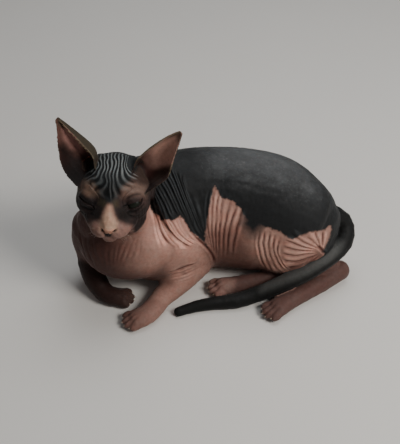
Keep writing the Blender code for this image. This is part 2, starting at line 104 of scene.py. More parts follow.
def smoothstep(low: float, high: float, values: np.ndarray) -> np.ndarray:
    """Eases from 0 at low to 1 at high."""
    t = np.clip((values - low) / (high - low), 0.0, 1.0)
    return t * t * (3.0 - 2.0 * t)


def bell(values: np.ndarray, width: float) -> np.ndarray:
    """Falls from 1 at 0 to 0.37 at the width on both sides, and to 0 beyond."""
    return np.exp(-((values / width) ** 2))


def lerp(a: np.ndarray, b: np.ndarray, share: np.ndarray) -> np.ndarray:
    """Mixes numbers or colours a and b, by a share of b for each point."""
    return a + (b - a) * (share[:, None] if np.ndim(a) == 2 else share)


class Noise:
    """Smooth seeded noise from a repeating lattice of random values."""

    SIDE = 32
    SHIFT = 1000.0
    LAYER_STEP = 7.7

    def __init__(self, seed: int) -> None:
        """Fills the lattice.

        Args:
            seed: Picks the pattern.
        """
        self.table = np.random.default_rng(seed).random((self.SIDE,) * 3) * 2.0 - 1.0

    def at(self, points: np.ndarray, size: float) -> np.ndarray:
        """Reads the noise.

        Args:
            points: Rows of three coordinates.
            size: Distance between lattice points.

        Returns:
            One value from -1 to 1 for each point.
        """
        spot = points / size + self.SHIFT
        low = np.floor(spot).astype(int)
        f = spot - low
        f = f * f * (3.0 - 2.0 * f)
        found = np.zeros(len(points))
        for corner in range(8):
            step = np.array([(corner >> axis) & 1 for axis in range(3)])
            share = np.prod(np.where(step, f, 1.0 - f), axis=1)
            i, j, k = ((low + step) % self.SIDE).T
            found += share * self.table[i, j, k]
        return found

    def layers(self, points: np.ndarray, size: float, count: int = 3) -> np.ndarray:
        """Adds ever finer noise, each layer at half the size and strength."""
        parts = (self.at(points + self.LAYER_STEP * n, size / 2**n) / 2**n for n in range(count))
        return sum(parts) / (2.0 - 2.0 ** (1 - count))


@dataclass(frozen=True)
class Reach:
    """How far points lie from a line.

    Attributes:
        distance: Distance to the nearest point of the line.
        side: Positive on the line's left as it runs, with y downwards.
        along: Length of the line up to that nearest point.
        length: Length of the whole line.
    """

    distance: np.ndarray
    side: np.ndarray
    along: np.ndarray
    length: float


def reach(points: np.ndarray, line: Outline) -> Reach:
    """Measures points against an open line.

    Args:
        points: Rows of two coordinates.
        line: Corners of the line.

    Returns:
        Distance, side and place along the line for each point.
    """
    corners = np.array(line, float)
    best = np.full(len(points), np.inf)
    side = np.zeros(len(points))
    along = np.zeros(len(points))
    done = 0.0
    for a, b in zip(corners, corners[1:]):
        way = b - a
        length = float(np.hypot(*way))
        t = np.clip((points - a) @ way / length**2, 0.0, 1.0)
        off = points - (a + t[:, None] * way)
        distance = np.hypot(off[:, 0], off[:, 1])
        nearer = distance < best
        best = np.where(nearer, distance, best)
        cross = way[0] * (points[:, 1] - a[1]) - way[1] * (points[:, 0] - a[0])
        side = np.where(nearer, -np.sign(cross), side)
        along = np.where(nearer, done + t * length, along)
        done += length
    return Reach(best, side, along, done)


def inside(points: np.ndarray, outline: Outline) -> np.ndarray:
    """Signed distance to a closed outline, positive inside it."""
    corners = np.array(outline, float)
    odd = np.zeros(len(points), bool)
    x, y = points.T
    for (ax, ay), (bx, by) in zip(corners, np.roll(corners, -1, axis=0)):
        crosses = (ay > y) != (by > y)
        with np.errstate(divide="ignore", invalid="ignore"):
            at = ax + (y - ay) * (bx - ax) / (by - ay)
        odd ^= crosses & (x < at)
    edge = reach(points, tuple(outline) + (outline[0],)).distance
    return np.where(odd, edge, -edge)


def framed(points: np.ndarray, lines: tuple[Outline, ...], margin: float) -> np.ndarray:
    """Which points lie in the box round some lines, widened by a margin."""
    corners = np.array([corner for line in lines for corner in line], float)
    low, high = corners.min(axis=0) - margin, corners.max(axis=0) + margin
    return ((points > low) & (points < high)).all(axis=1)


def curve(corners: Outline, steps: int = 6) -> Outline:
    """A smooth line through the given corners."""
    rows = [np.array(c, float) for c in corners]
    last = len(rows) - 1
    found = []
    for i in range(last):
        a, b, c, d = (rows[min(last, max(0, i + k))] for k in (-1, 0, 1, 2))
        for step in range(steps):
            t = step / steps
            bend = (2 * a - 5 * b + 4 * c - d) * t**2 + (3 * b - a - 3 * c + d) * t**3
            found.append(tuple(0.5 * (2 * b + (c - a) * t + bend)))
    return (*found, tuple(rows[-1]))


def linked(name: str, data: bpy.types.ID) -> bpy.types.Object:
    """A new object in the scene, made of the given data."""
    obj = bpy.data.objects.new(name, data)
    bpy.context.scene.collection.objects.link(obj)
    return obj


def stand(name: str, data: bpy.types.ID, place: Spot, way: Vector) -> bpy.types.Object:
    """Stands a camera or a lamp in its place, turned to look along a way."""
    obj = linked(name, data)
    obj.location = Vector(place)
    obj.rotation_mode = "QUATERNION"
    obj.rotation_quaternion = way.to_track_quat("-Z", "Y")
    return obj


@dataclass(frozen=True)
class View:
    """Where the viewer stands: above the left flank, looking down at the cat.

    Attributes:
        aim: Point looked at.
        distance: From the eye of the camera to that point.
        elevation: Degrees above the horizon.
        focal: Focal length in pixels of the picture.
        width: Picture's width in pixels.
        height: Picture's height in pixels.
        sensor_mm: Height of the camera's sensor.
    """

    aim: Spot = (-0.01645, 0.0224, 0.06)
    distance: float = 0.80
    elevation: float = 42.0
    focal: float = 720.0
    width: int = 400
    height: int = 444
    sensor_mm: float = 36.0

    @property
    def back(self) -> np.ndarray:
        """Unit vector from the cat to the camera."""
        rise = math.radians(self.elevation)
        return np.array([0.0, -math.cos(rise), math.sin(rise)])

    @property
    def up(self) -> np.ndarray:
        """Unit vector that points up in the picture."""
        rise = math.radians(self.elevation)
        return np.array([0.0, math.sin(rise), math.cos(rise)])

    @property
    def eye(self) -> np.ndarray:
        """The camera's place."""
        return np.array(self.aim) + self.back * self.distance

    def pixels(self, points: np.ndarray) -> np.ndarray:
        """Where points of the cat fall in the picture, as rows of x and y."""
        away = points - self.eye
        depth = -(away @ self.back)
        x = self.width / 2 + self.focal * away[:, 0] / depth
        y = self.height / 2 - self.focal * (away @ self.up) / depth
        return np.stack([x, y], axis=1)

    def facing(self, points: np.ndarray, normals: np.ndarray) -> np.ndarray:
        """Cosine of the angle between each normal and the way to the camera."""
        away = self.eye - points
        away /= np.linalg.norm(away, axis=1)[:, None]
        return np.sum(away * normals, axis=1)

    def place_camera(self) -> None:
        """Sets up the camera of the main view."""
        data = bpy.data.cameras.new("camera")
        data.sensor_width = self.sensor_mm
        data.lens = self.focal * self.sensor_mm / self.height
        bpy.context.scene.camera = stand("camera", data, self.eye, Vector(-self.back))


VIEW = View()


class SkinMesh:
    """The skin's mesh held as arrays, for carving and colouring."""

    def __init__(self, obj: bpy.types.Object) -> None:
        """Reads the object's mesh."""
        self.obj = obj
        self.read()

    def read(self) -> None:
        """Reads points, normals and edges afresh."""
        mesh = self.obj.data
        self.count = len(mesh.vertices)
        self.co = self._vectors(mesh.vertices, "co")
        self.normals = self._vectors(mesh.vertices, "normal")
        edges = np.empty(len(mesh.edges) * 2, np.int32)
        mesh.edges.foreach_get("vertices", edges)
        self.edges = edges.reshape(-1, 2)
        self.degree = np.maximum(np.bincount(edges, minlength=self.count), 1)

    @staticmethod
    def _vectors(items: bpy.types.bpy_prop_collection, name: str) -> np.ndarray:
        """One vector property of every item."""
        values = np.empty(len(items) * 3, np.float32)
        items.foreach_get(name, values)
        return values.reshape(-1, 3).astype(float)

    def write(self) -> None:
        """Writes the points back and takes the new normals."""
        mesh = self.obj.data
        mesh.vertices.foreach_set("co", self.co.astype(np.float32).ravel())
        mesh.update()
        self.normals = self._vectors(mesh.vertices, "normal")

    def averages(self, values: np.ndarray) -> np.ndarray:
        """Mean of each point's neighbours."""
        a, b = self.edges.T
        columns = values.reshape(self.count, -1).T
        sums = []
        for column in columns:
            total = np.bincount(a, column[b], self.count) + np.bincount(b, column[a], self.count)
            sums.append(total / self.degree)
        return np.stack(sums, axis=1).reshape(values.shape)

    def spread(self, values: np.ndarray, passes: int) -> np.ndarray:
        """Blurs values over the surface."""
        for _ in range(passes):
            values = 0.5 * values + 0.5 * self.averages(values)
        return values

    def relax(self, passes: int, share: np.ndarray | float = 1.0, keep: float = 0.53) -> None:
        """Smooths the shape and gives back most of what smoothing shrinks.

        Args:
            passes: Number of smoothing passes.
            share: Strength for each point, or for all.
            keep: Strength of the pass that gives back, against 0.5 for the one that smooths.
        """
        weight = np.broadcast_to(np.asarray(share, float), (self.count,))[:, None]
        for _ in range(passes):
            self.co += weight * 0.5 * (self.averages(self.co) - self.co)
            self.co -= weight * keep * (self.averages(self.co) - self.co)
        self.write()

    def lift(self, height: np.ndarray, passes: int) -> None:
        """Moves every point along its normal, blurred in a few passes, by a height in millimetres."""
        self.co += self.spread(self.normals, passes) * height[:, None] * MM
        self.write()

    def values(self, name: str, data: np.ndarray) -> None:
        """Stores one number or colour for each point, for the finish to read."""
        colour = data.ndim == 2
        kind = "FLOAT_COLOR" if colour else "FLOAT"
        made = self.obj.data.attributes.new(name, kind, "POINT")
        if colour:
            data = np.concatenate([data, np.ones((self.count, 1))], axis=1)
        made.data.foreach_set("color" if colour else "value", data.astype(np.float32).ravel())


def new_object(bm: bmesh.types.BMesh, name: str) -> bpy.types.Object:
    """Turns a finished mesh into an object in the scene, and frees what it was made with."""
    mesh = bpy.data.meshes.new(name)
    bm.to_mesh(mesh)
    bm.free()
    return linked(name, mesh)


def dress(obj: bpy.types.Object, material: bpy.types.Material) -> None:
    """Gives a piece smooth faces, its material and its slot, and lets it ride with the cat."""
    for polygon in obj.data.polygons:
        polygon.use_smooth = True
    obj.data.materials.append(material)
    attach(obj, "root")


def copy_of(node: str, swell: float) -> bpy.types.Object:
    """A welded copy of a model node, grown a little so that it meets its neighbours.

    Args:
        node: The node's name.
        swell: How far its faces move out, in metres.

    Returns:
        The new object.
    """
    bm = bmesh.new()
    bm.from_mesh(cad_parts[node].data)
    bmesh.ops.remove_doubles(bm, verts=bm.verts, dist=WELD)
    bmesh.ops.recalc_face_normals(bm, faces=bm.faces)
    bm.normal_update()
    for vert, way in [(v, v.normal.copy()) for v in bm.verts]:
        vert.co += way * swell
    return new_object(bm, node + "_flesh")


def round_ball(centre: np.ndarray, radius: float, rings: int = 24) -> bpy.types.Object:
    """A sphere as a new object."""
    bm = bmesh.new()
    bmesh.ops.create_uvsphere(bm, u_segments=2 * rings, v_segments=rings, radius=radius)
    bm.transform(Matrix.Translation(Vector(centre)))
    return new_object(bm, "ball")


def apply_modifiers(obj: bpy.types.Object) -> None:
    """Makes the object's modifiers part of its mesh."""
    graph = bpy.context.evaluated_depsgraph_get()
    graph.update()
    obj.data = bpy.data.meshes.new_from_object(obj.evaluated_get(graph), depsgraph=graph)
    obj.modifiers.clear()


@dataclass(frozen=True)
class Eyeball:
    """Place and size of one eye, read off its node.

    Attributes:
        centre: Middle of the eyeball.
        radius: Its radius.
        side: 1 for the cat's left, -1 for its right.
    """

    centre: np.ndarray
    radius: float
    side: int

    @classmethod
    def of(cls, node: str, side: int) -> "Eyeball":
        """Measures an eye's node."""
        low, high = (np.array(corner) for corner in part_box(node))
        return cls((low + high) / 2, float(np.mean(high - low)) / 2, side)


@dataclass(frozen=True)
class HeadFrame:
    """The head's own axes: x to the cat's left, y back, z to the crown, in scaled centimetres.

    Attributes:
        eyes: The two eyes, right and left.
        turn: Euler degrees of the head.
        eye_spot: The left eye's place in these axes.
    """

    eyes: tuple[Eyeball, Eyeball]
    turn: Spot = (-2.0, 3.0, -2.0)
    eye_spot: Spot = (2.05, -2.05, -0.35)

    @property
    def axes(self) -> np.ndarray:
        """Rotation from the head's axes to the world's."""
        return np.array(Euler([math.radians(a) for a in self.turn]).to_matrix())

    @property
    def unit(self) -> float:
        """Length of the head's unit in metres."""
        right, left = self.eyes
        return float(np.linalg.norm(left.centre - right.centre)) / (2 * self.eye_spot[0])

    @property
    def origin(self) -> np.ndarray:
        """The world place of the head's origin, mid skull."""
        between = (self.eyes[0].centre + self.eyes[1].centre) / 2
        return between - self.axes @ np.array([0.0, *self.eye_spot[1:]]) * self.unit

    def local(self, points: np.ndarray) -> np.ndarray:
        """World points in the head's axes."""
        return (points - self.origin) @ self.axes / self.unit

    def world(self, points: np.ndarray) -> np.ndarray:
        """Points in the head's axes as world points."""
        return np.asarray(points, float) @ self.axes.T * self.unit + self.origin


HEAD = HeadFrame((Eyeball.of("eye_right", -1), Eyeball.of("eye_left", 1)))


def mirrored(places: tuple[Spot, ...], side: int) -> np.ndarray:
    """Places in the head's axes on the cat's left, for a side of 1, or mirrored to its right, for -1."""
    return np.array(places) * (side, 1, 1)


class Anatomy:
    """Tells which part of the body each point of the skin belongs to."""

    def __init__(self) -> None:
        """Gathers the faces of every flesh node."""
        points, faces, self.names = [], [], []
        for part in Part:
            for node in part.value:
                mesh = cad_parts[node].data
                start = len(points)
                points += [v.co.copy() for v in mesh.vertices]
                faces += [[start + v for v in p.vertices] for p in mesh.polygons]
                self.names += [node] * len(mesh.polygons)
        self.tree = BVHTree.FromPolygons(points, faces)
        self.shares: dict[tuple, np.ndarray] = {}

    def label(self, skin: SkinMesh) -> None:
        """Finds the node nearest to each point of the skin."""
        found = [self.tree.find_nearest(Vector(p))[2] for p in skin.co]
        self.nearest = np.array([self.names[i] for i in found])

    def share(self, skin: SkinMesh, *wanted: Part | str, passes: int = 6) -> np.ndarray:
        """How far each point belongs to the wanted parts or nodes.

        Args:
            skin: The skin.
            wanted: Parts or names of nodes.
            passes: Smoothing passes at the borders.

        Returns:
            A share from 0 to 1 for each point.
        """
        names = tuple(n for w in wanted for n in (w.value if isinstance(w, Part) else (w,)))
        if (names, passes) not in self.shares:
            self.shares[names, passes] = skin.spread(np.isin(self.nearest, names).astype(float), passes)
        return self.shares[names, passes]


def waves(folds: np.ndarray, crest: float = 0.75) -> np.ndarray:
    """Heights of even folds, from -1.15 in each crease to 0.85 on each ridge.

    Args:
        folds: Place across the folds, counted in folds.
        crest: Below 1 for broad ridges between narrow creases, above 1 for narrow ridges.

    Returns:
        One height for each place.
    """
    return 2.0 * np.abs(np.sin(math.pi * folds)) ** crest - 1.15


@dataclass(frozen=True)
class FoldFamily:
    """Folds that run side by side between guide lines drawn over the picture.

    Attributes:
        guides: Lines along the folds, in order across them.
        count: Folds from one guide to the next.
        height: From crease to ridge, in millimetres.
        parts: Parts of the body that carry them.
        fade: Pixels over which they rise at both ends.
        wander: How far they stray, in folds.
        crest: Below 1 for broad ridges between narrow creases, above 1 for narrow ridges.
    """

    BRIM: ClassVar[float] = 0.4

    guides: tuple[Outline, ...]
    count: float
    height: float
    parts: tuple[Part, ...]
    fade: float = 10.0
    wander: float = 0.25
    crest: float = 0.75

    def relief(self, spots: np.ndarray, noise: np.ndarray) -> np.ndarray:
        """Heights of the folds, as waves() gives them.

        Args:
            spots: Pixels of the picture.
            noise: Smooth noise for the same points.

        Returns:
            One value for each point, 0 where there are no folds.
        """
        found = np.zeros(len(spots))
        near = framed(spots, self.guides, 1.0)
        spots, noise = spots[near], noise[near]
        reaches = [reach(spots, curve(guide, 4)) for guide in self.guides]
        gaps = len(self.guides) - 1
        relief = np.zeros(len(spots))
        for k, (a, b) in enumerate(zip(reaches, reaches[1:])):
            between = a.side * b.side <= 0
            share = a.distance / np.maximum(a.distance + b.distance, WELD)
            across = k + share
            ends = [np.minimum(r.along, r.length - r.along) for r in (a, b)]
            strength = smoothstep(0.0, self.fade, lerp(*ends, share))
            strength *= smoothstep(0.0, self.BRIM, np.minimum(across, gaps - across))
            height = waves(across * self.count + noise * self.wander, self.crest)
            relief += np.where(between, strength * height, 0.0)
        found[near] = relief
        return found


@dataclass(frozen=True)
class Crease:
    """One crease drawn over the picture.

    Attributes:
        line: The crease's line in pixels.
        depth: Its depth in millimetres.
        width: Half its width in pixels.
        parts: Parts of the body that carry it.
    """

    FADE: ClassVar[float] = 6.0
    SHOULDER: ClassVar[float] = 0.35

    line: Outline
    depth: float
    width: float
    parts: tuple[Part, ...]

    def relief(self, spots: np.ndarray) -> np.ndarray:
        """Height in millimetres for each pixel, below 0 in the crease."""
        found = np.zeros(len(spots))
        near = framed(spots, (self.line,), 5 * self.width)
        r = reach(spots[near], curve(self.line, 4))
        end = np.minimum(r.along, r.length - r.along)
        strength = smoothstep(-0.5, min(self.FADE, r.length / 3), end)
        dip = bell(r.distance, self.width)
        shoulder = bell(r.distance - 2.0 * self.width, self.width)
        found[near] = self.depth * strength * (self.SHOULDER * shoulder - dip)
        return found


FLANK = (Part.TRUNK, Part.NECK, Part.ARMS, Part.THIGHS)
ARM = (Part.ARMS, Part.FOREARMS)
FACE = (Part.HEAD,)

FOREHEAD_FOLDS = FoldFamily(
    guides=(
        ((94.5, 148), (94, 163), (91, 168), (82, 171)),
        ((96.2, 147.5), (96.7, 162.5), (94.8, 168.5), (91, 172.5), (82.5, 175.5)),
        ((98, 147), (99, 162), (98, 169), (94, 175), (83, 180)),
        ((101.2, 147), (102.8, 163), (102.5, 171), (98.5, 179.5), (86, 185.5)),
        ((105.2, 146), (106, 164), (106, 175), (104, 184), (96, 194)),
        ((109.8, 146), (109.3, 165), (109, 180), (109.3, 202)),
        ((114.5, 146), (113.3, 165), (112.3, 180), (111.8, 202)),
        ((119.2, 146), (117, 164), (115.8, 174), (117, 184), (124, 195)),
        ((123.7, 147), (120, 163), (119.3, 171), (122.5, 180), (135, 187)),
        ((128.5, 148), (123.8, 163), (123.7, 169.5), (128, 176), (139, 181)),
        ((130.8, 149.5), (126, 162.5), (126.2, 168.8), (130.3, 174), (140, 178)),
        ((133, 151), (128, 162), (128.5, 168), (132.5, 172), (141, 175)),
    ),
    count=1,
    height=1.1,
    parts=FACE,
    fade=6.0,
    wander=0.9,
    crest=1.4,
)
NECK_FOLDS = FoldFamily(
    guides=(
        ((143, 192), (148, 217), (151, 233), (152, 246)),
        ((147, 186), (155, 212), (159.5, 226), (165, 238), (172, 247)),
        ((148, 183), (158, 208), (164.5, 222), (172, 233), (182, 242), (194, 248)),
        ((150, 180), (161.5, 200), (167, 211), (171, 220), (178, 232), (187, 240.5), (198, 246)),
        ((156, 176), (168, 197), (173.5, 207), (178, 217), (184, 229), (191, 238), (201, 243)),
        ((162, 170), (173.5, 193), (178.5, 204), (183, 214), (188, 226), (195, 237), (203, 241)),
        ((169, 166), (180, 193), (185.5, 207), (190.5, 220), (196, 232), (204, 239)),
        ((176, 170), (188, 202), (194, 217), (200, 230), (205, 237)),
        ((189, 190), (196, 211), (201.5, 228), (206, 236)),
        ((198, 190), (203, 212), (207, 232)),
    ),
    count=1,
    height=1.7,
    parts=FLANK,
    fade=12.0,
    wander=0.1,
    crest=0.8,
)
NAPE_FOLDS = FoldFamily(
    guides=(
        ((148, 183), (158, 208), (162, 218)),
        ((150, 180), (161.5, 200), (170, 218)),
        ((156, 176), (168, 197), (178, 217)),
        ((162, 170), (173.5, 193), (184, 217)),
        ((169, 166), (180, 193), (191, 221)),
        ((176, 170), (188, 202), (199, 229)),
        ((184, 180), (196, 211), (204, 233)),
    ),
    count=2,
    height=1.5,
    parts=FLANK,
    fade=8.0,
    crest=1.3,
)
SHOULDER_FOLDS = FoldFamily(
    guides=(
        ((150, 206), (152, 222), (153, 235), (154, 246)),
        ((157, 214), (160, 228), (165, 238), (172, 247)),
        ((163, 216), (168, 226), (173, 234), (182, 242), (194, 248)),
        ((170, 218), (176, 228), (180, 234), (187, 240.5), (198, 246)),
        ((178, 217), (184, 229), (191, 238), (201, 243)),
    ),
    count=2,
    height=1.5,
    parts=FLANK,
    fade=9.0,
    wander=0.3,
    crest=0.6,
)
FLANK_FOLDS = FoldFamily(
    guides=(
        ((205, 188), (202, 210), (205, 232), (211, 252)),
        ((214, 186), (212, 212), (212, 234), (214, 257)),
        ((224, 192), (221, 214), (219, 236), (218, 260)),
        ((238, 200), (232, 219), (228, 238), (226, 260)),
        ((250, 208), (245, 226), (240, 242), (237, 259)),
    ),
    count=2,
    height=2.1,
    parts=FLANK,
    fade=14.0,
)
HAUNCH_FOLDS = FoldFamily(
    guides=(
        ((254, 232), (253, 246), (256, 258), (262, 270)),
        ((265, 229), (263, 245), (267, 260), (273, 273)),
        ((276, 232), (273, 248), (279, 262), (287, 273)),
        ((284, 240), (281, 252), (286, 263), (294, 271)),
    ),
    count=2,
    height=2.0,
    parts=FLANK,
    fade=8.0,
)
HIP_FOLDS = FoldFamily(
    guides=(
        ((323, 250), (327, 241), (330, 230)),
        ((321.5, 249), (320, 240), (318, 230)),
        ((320.5, 249), (313, 241), (304, 235)),
        ((320, 249.8), (307, 246), (295, 241), (284, 236)),
        ((319.5, 250.8), (308, 251), (295, 250), (281, 246)),
        ((319.5, 252), (308, 256), (295, 259), (280, 257)),
        ((320.5, 253.5), (311, 261), (299, 266), (284, 268)),
        ((323, 255), (315, 265), (304, 272)),
    ),
    count=1.5,
    height=2.0,
    parts=FLANK,
    fade=7.0,
)
CHEST_FOLDS = FoldFamily(
    guides=(
        ((76, 226), (77, 244), (82, 262)),
        ((86, 232), (88, 250), (93, 268)),
        ((100, 242), (101, 256), (104, 272)),
        ((114, 243), (113, 257), (112, 272)),
        ((128, 238), (122, 254), (117, 269)),
        ((138, 234), (133, 250), (128, 264)),
        ((147, 232), (146, 246), (143, 260)),
    ),
    count=2,
    height=1.25,
    parts=FLANK,
    fade=12.0,
    wander=0.5,
)
CHEEK_FOLDS = FoldFamily(
    guides=(
        ((133, 206), (136, 217), (132, 229)),
        ((140, 201), (142, 214), (139, 228)),
        ((147, 200), (147, 214), (145, 228)),
    ),
    count=2,
    height=0.7,
    parts=(Part.HEAD, Part.NECK),
    fade=6.0,
)
FOREARM_FOLDS = FoldFamily(
    guides=(
        ((160, 272), (172, 269), (186, 263), (199, 258)),
        ((165, 279), (178, 276), (192, 271), (204, 266)),
        ((160, 288), (173, 287), (187, 284), (197, 279)),
    ),
    count=3,
    height=1.0,
    parts=ARM,
    fade=10.0,
)
FAMILIES = (
    FOREHEAD_FOLDS,
    NECK_FOLDS,
    NAPE_FOLDS,
    SHOULDER_FOLDS,
    FLANK_FOLDS,
    HAUNCH_FOLDS,
    HIP_FOLDS,
    CHEST_FOLDS,
    CHEEK_FOLDS,
    FOREARM_FOLDS,
)
CREASES = (
    Crease(((194, 236), (201, 242), (208, 249), (213, 257), (214, 264)), 1.2, 1.2, FLANK),
    Crease(((317, 245), (321, 249), (326, 254)), 1.6, 1.3, FLANK),
    Crease(((163, 168), (169, 171), (170, 178), (166, 186)), 0.7, 1.2, (Part.EARS,)),
    Crease(((161, 274), (173, 272), (184, 267), (197, 264)), 0.8, 1.2, ARM),
    Crease(((166, 278), (176, 274), (189, 273)), 0.6, 1.2, ARM),
    Crease(((80, 205), (88, 209), (97, 210)), 0.8, 1.4, FACE),
    Crease(((84, 211), (91, 214), (97, 215)), 0.4, 1.4, FACE),
    Crease(((124, 211), (132, 212), (140, 208), (145, 202)), 0.8, 1.4, FACE),
    Crease(((127, 216), (135, 217), (143, 213)), 0.4, 1.4, FACE),
    Crease(((124, 201), (131, 196), (139, 194), (144, 196)), 0.4, 1.6, FACE),
)


class Folds:
    """The folds of the skin, as the picture shows them and as they go on where it doesn't."""

    SPACING = 0.0056
    RING_SPACING = 0.0052
    FLANK_MM = 0.45
    NAPE_MM = 0.35
    DEEPEST_MM = 1.25
    CREPE_MM = 0.16
    GRAIN_MM = 0.12
    SEED = 11

    def __init__(self, skin: SkinMesh, anatomy: Anatomy) -> None:
        """Keeps the skin and its parts at hand."""
        self.skin = skin
        self.anatomy = anatomy
        self.noise = Noise(self.SEED)

    def seen(self) -> np.ndarray:
        """How plainly each point shows in the picture, from 0 to 1."""
        return smoothstep(0.12, 0.4, VIEW.facing(self.skin.co, self.skin.normals))

    def drawn(self) -> np.ndarray:
        """Heights in millimetres of the folds that the picture shows."""
        spots = VIEW.pixels(self.skin.co)
        stray = self.noise.layers(self.skin.co, 0.016, 2)
        uneven = 0.75 + 0.5 * self.noise.at(self.skin.co + 3.0, 0.011)
        seen = self.seen()
        total = np.zeros(self.skin.count)
        for family in FAMILIES:
            weight = self.anatomy.share(self.skin, *family.parts) * seen
            total += family.relief(spots, stray) * family.height * 0.5 * weight * uneven
        for crease in CREASES:
            total += crease.relief(spots) * self.anatomy.share(self.skin, *crease.parts) * seen
        return self.DEEPEST_MM * np.tanh(total / self.DEEPEST_MM)

    def unseen(self) -> np.ndarray:
        """Heights in millimetres of the folds on the sides that the picture doesn't show."""
        co, normals = self.skin.co, self.skin.normals
        stray = self.noise.layers(co, 0.02, 2)
        body = self.anatomy.share(self.skin, *FLANK, passes=20)
        hidden = 1.0 - smoothstep(-0.05, 0.3, VIEW.facing(co, normals))
        flank = smoothstep(0.35, 0.85, np.abs(normals[:, 1]) + 0.5 * np.abs(normals[:, 0]))
        slant = co[:, 0] + 0.35 * co[:, 2]
        patchy = smoothstep(-0.35, 0.35, self.noise.at(co + 5.0, 0.045))
        low = smoothstep(0.125, 0.085, co[:, 2])
        total = waves(slant / self.SPACING + 1.5 * stray) * self.FLANK_MM
        total = total * body * hidden * flank * patchy * low
        nape = self.anatomy.share(self.skin, Part.NECK, passes=20) * hidden
        rings = waves((co[:, 2] - 0.5 * co[:, 1]) / self.RING_SPACING + 1.3 * stray) * self.NAPE_MM
        return total * (1 - nape) + rings * nape * (0.4 + 0.6 * patchy)

    def fine(self) -> np.ndarray:
        """Heights in millimetres of the crepe that covers the whole skin."""
        co = self.skin.co
        thin = self.anatomy.share(self.skin, Part.EARS, passes=8)
        crepe = self.CREPE_MM * self.noise.layers(co, 0.0045, 2)
        grain = self.GRAIN_MM * self.noise.at(co * (1, 1, 0.5), 0.0022)
        return (crepe + grain) * (1 - 0.7 * thin)

    def carve(self) -> np.ndarray:
        """Presses all folds into the skin.

        Returns:
            The height at each point in millimetres, for the colours to follow.
        """
        total = self.drawn() + self.unseen()
        self.skin.lift(total + self.fine(), 6)
        return total


@dataclass(frozen=True)
class LidEdge:
    """One point of the opening between the lids.

    Attributes:
        out: Degrees towards the side of the head.
        high: Degrees up.
        half: Half the opening in degrees.
    """

    out: float
    high: float
    half: float


class Lids:
    """The lids of both eyes: the right one shut, the left one half open."""

    EDGES = {
        -1: (
            LidEdge(-50, -20, 0.5),
            LidEdge(-25, -4, 2.0),
            LidEdge(-5, 8, 3.0),
            LidEdge(25, 20, 3.0),
            LidEdge(50, 26, 2.5),
            LidEdge(70, 27, 0.5),
        ),
        1: (
            LidEdge(-54, -20, 0.5),
            LidEdge(-33, -1, 7.0),
            LidEdge(-5, 11, 13.0),
            LidEdge(25, 20, 12.0),
            LidEdge(48, 29, 7.0),
            LidEdge(66, 36, 0.5),
        ),
    }
    DEPTH = 0.90
    RIM = 0.0005
    REACH = 1.7
    THICKEST = 1.5
    EDGE_DEGREES = 3.0
    RIM_DEGREES = 3.5
    WET_DEGREES = 4.5

    def carve(self, skin: SkinMesh) -> np.ndarray:
        """Opens the lids over the eyeballs.

        Args:
            skin: The skin to carve.

        Returns:
            How far each point lies in an opening or on its rim, from 0 to 1.
        """
        wet = np.zeros(skin.count)
        for eye in HEAD.eyes:
            away = skin.co - eye.centre
            distance = np.linalg.norm(away, axis=1)
            way = (away @ HEAD.axes) / distance[:, None]
            near = (distance < self.REACH * eye.radius) & (way[:, 1] < 0.1)
            out = np.degrees(np.arctan2(way[:, 0] * eye.side, -way[:, 1]))
            high = np.degrees(np.arcsin(np.clip(way[:, 2], -1, 1)))
            table = np.array([(e.out, e.high, e.half) for e in self.EDGES[eye.side]])
            fine = np.array(curve(tuple(map(tuple, table)), 8))
            middle = np.interp(out, fine[:, 0], fine[:, 1])
            half = np.interp(out, fine[:, 0], fine[:, 2], left=0.0, right=0.0)
            off = np.abs(high - middle) - half
            beyond = np.maximum(fine[0, 0] - out, out - fine[-1, 0])
            off = np.maximum(off, beyond)
            hole = smoothstep(self.EDGE_DEGREES * 0.5, -self.EDGE_DEGREES * 0.5, off) * near
            rim = bell(off - self.RIM_DEGREES, self.EDGE_DEGREES) * near * (half > 0)
            goal = np.where(near, np.minimum(distance, eye.radius * self.THICKEST), distance)
            goal = goal + rim * self.RIM
            goal = goal * (1 - hole) + eye.radius * self.DEPTH * hole
            skin.co = eye.centre + away / distance[:, None] * goal[:, None]
            wet = np.maximum(wet, smoothstep(self.WET_DEGREES, 0.5, off) * near)
        skin.write()
        return wet


@dataclass(frozen=True)
class Dent:
    """A shallow hollow on both sides of the head, in the head's own axes.

    Attributes:
        centre: Its middle on the left side.
        reach: How far it spreads.
        depth: Its depth in millimetres.
    """

    STEPS: ClassVar[int] = 4

    centre: Spot
    reach: float
    depth: float

    def press(self, skin: SkinMesh) -> np.ndarray:
        """How deep in the hollow each point lies, from 0 to 1."""
        spot = HEAD.local(skin.co)
        away = np.linalg.norm(np.abs(spot) * (1, 0, 0) + spot * (0, 1, 1) - self.centre, axis=1)
        return bell(away, self.reach)

    def carve(self, skin: SkinMesh) -> None:
        """Presses the hollow in, in a few small steps."""
        for _ in range(self.STEPS):
            press = self.press(skin)
            skin.lift(-self.depth / self.STEPS * press, 6)
            skin.relax(4, press)


TEMPLE = Dent((2.4, 0.55, 1.75), 0.75, 4.0)


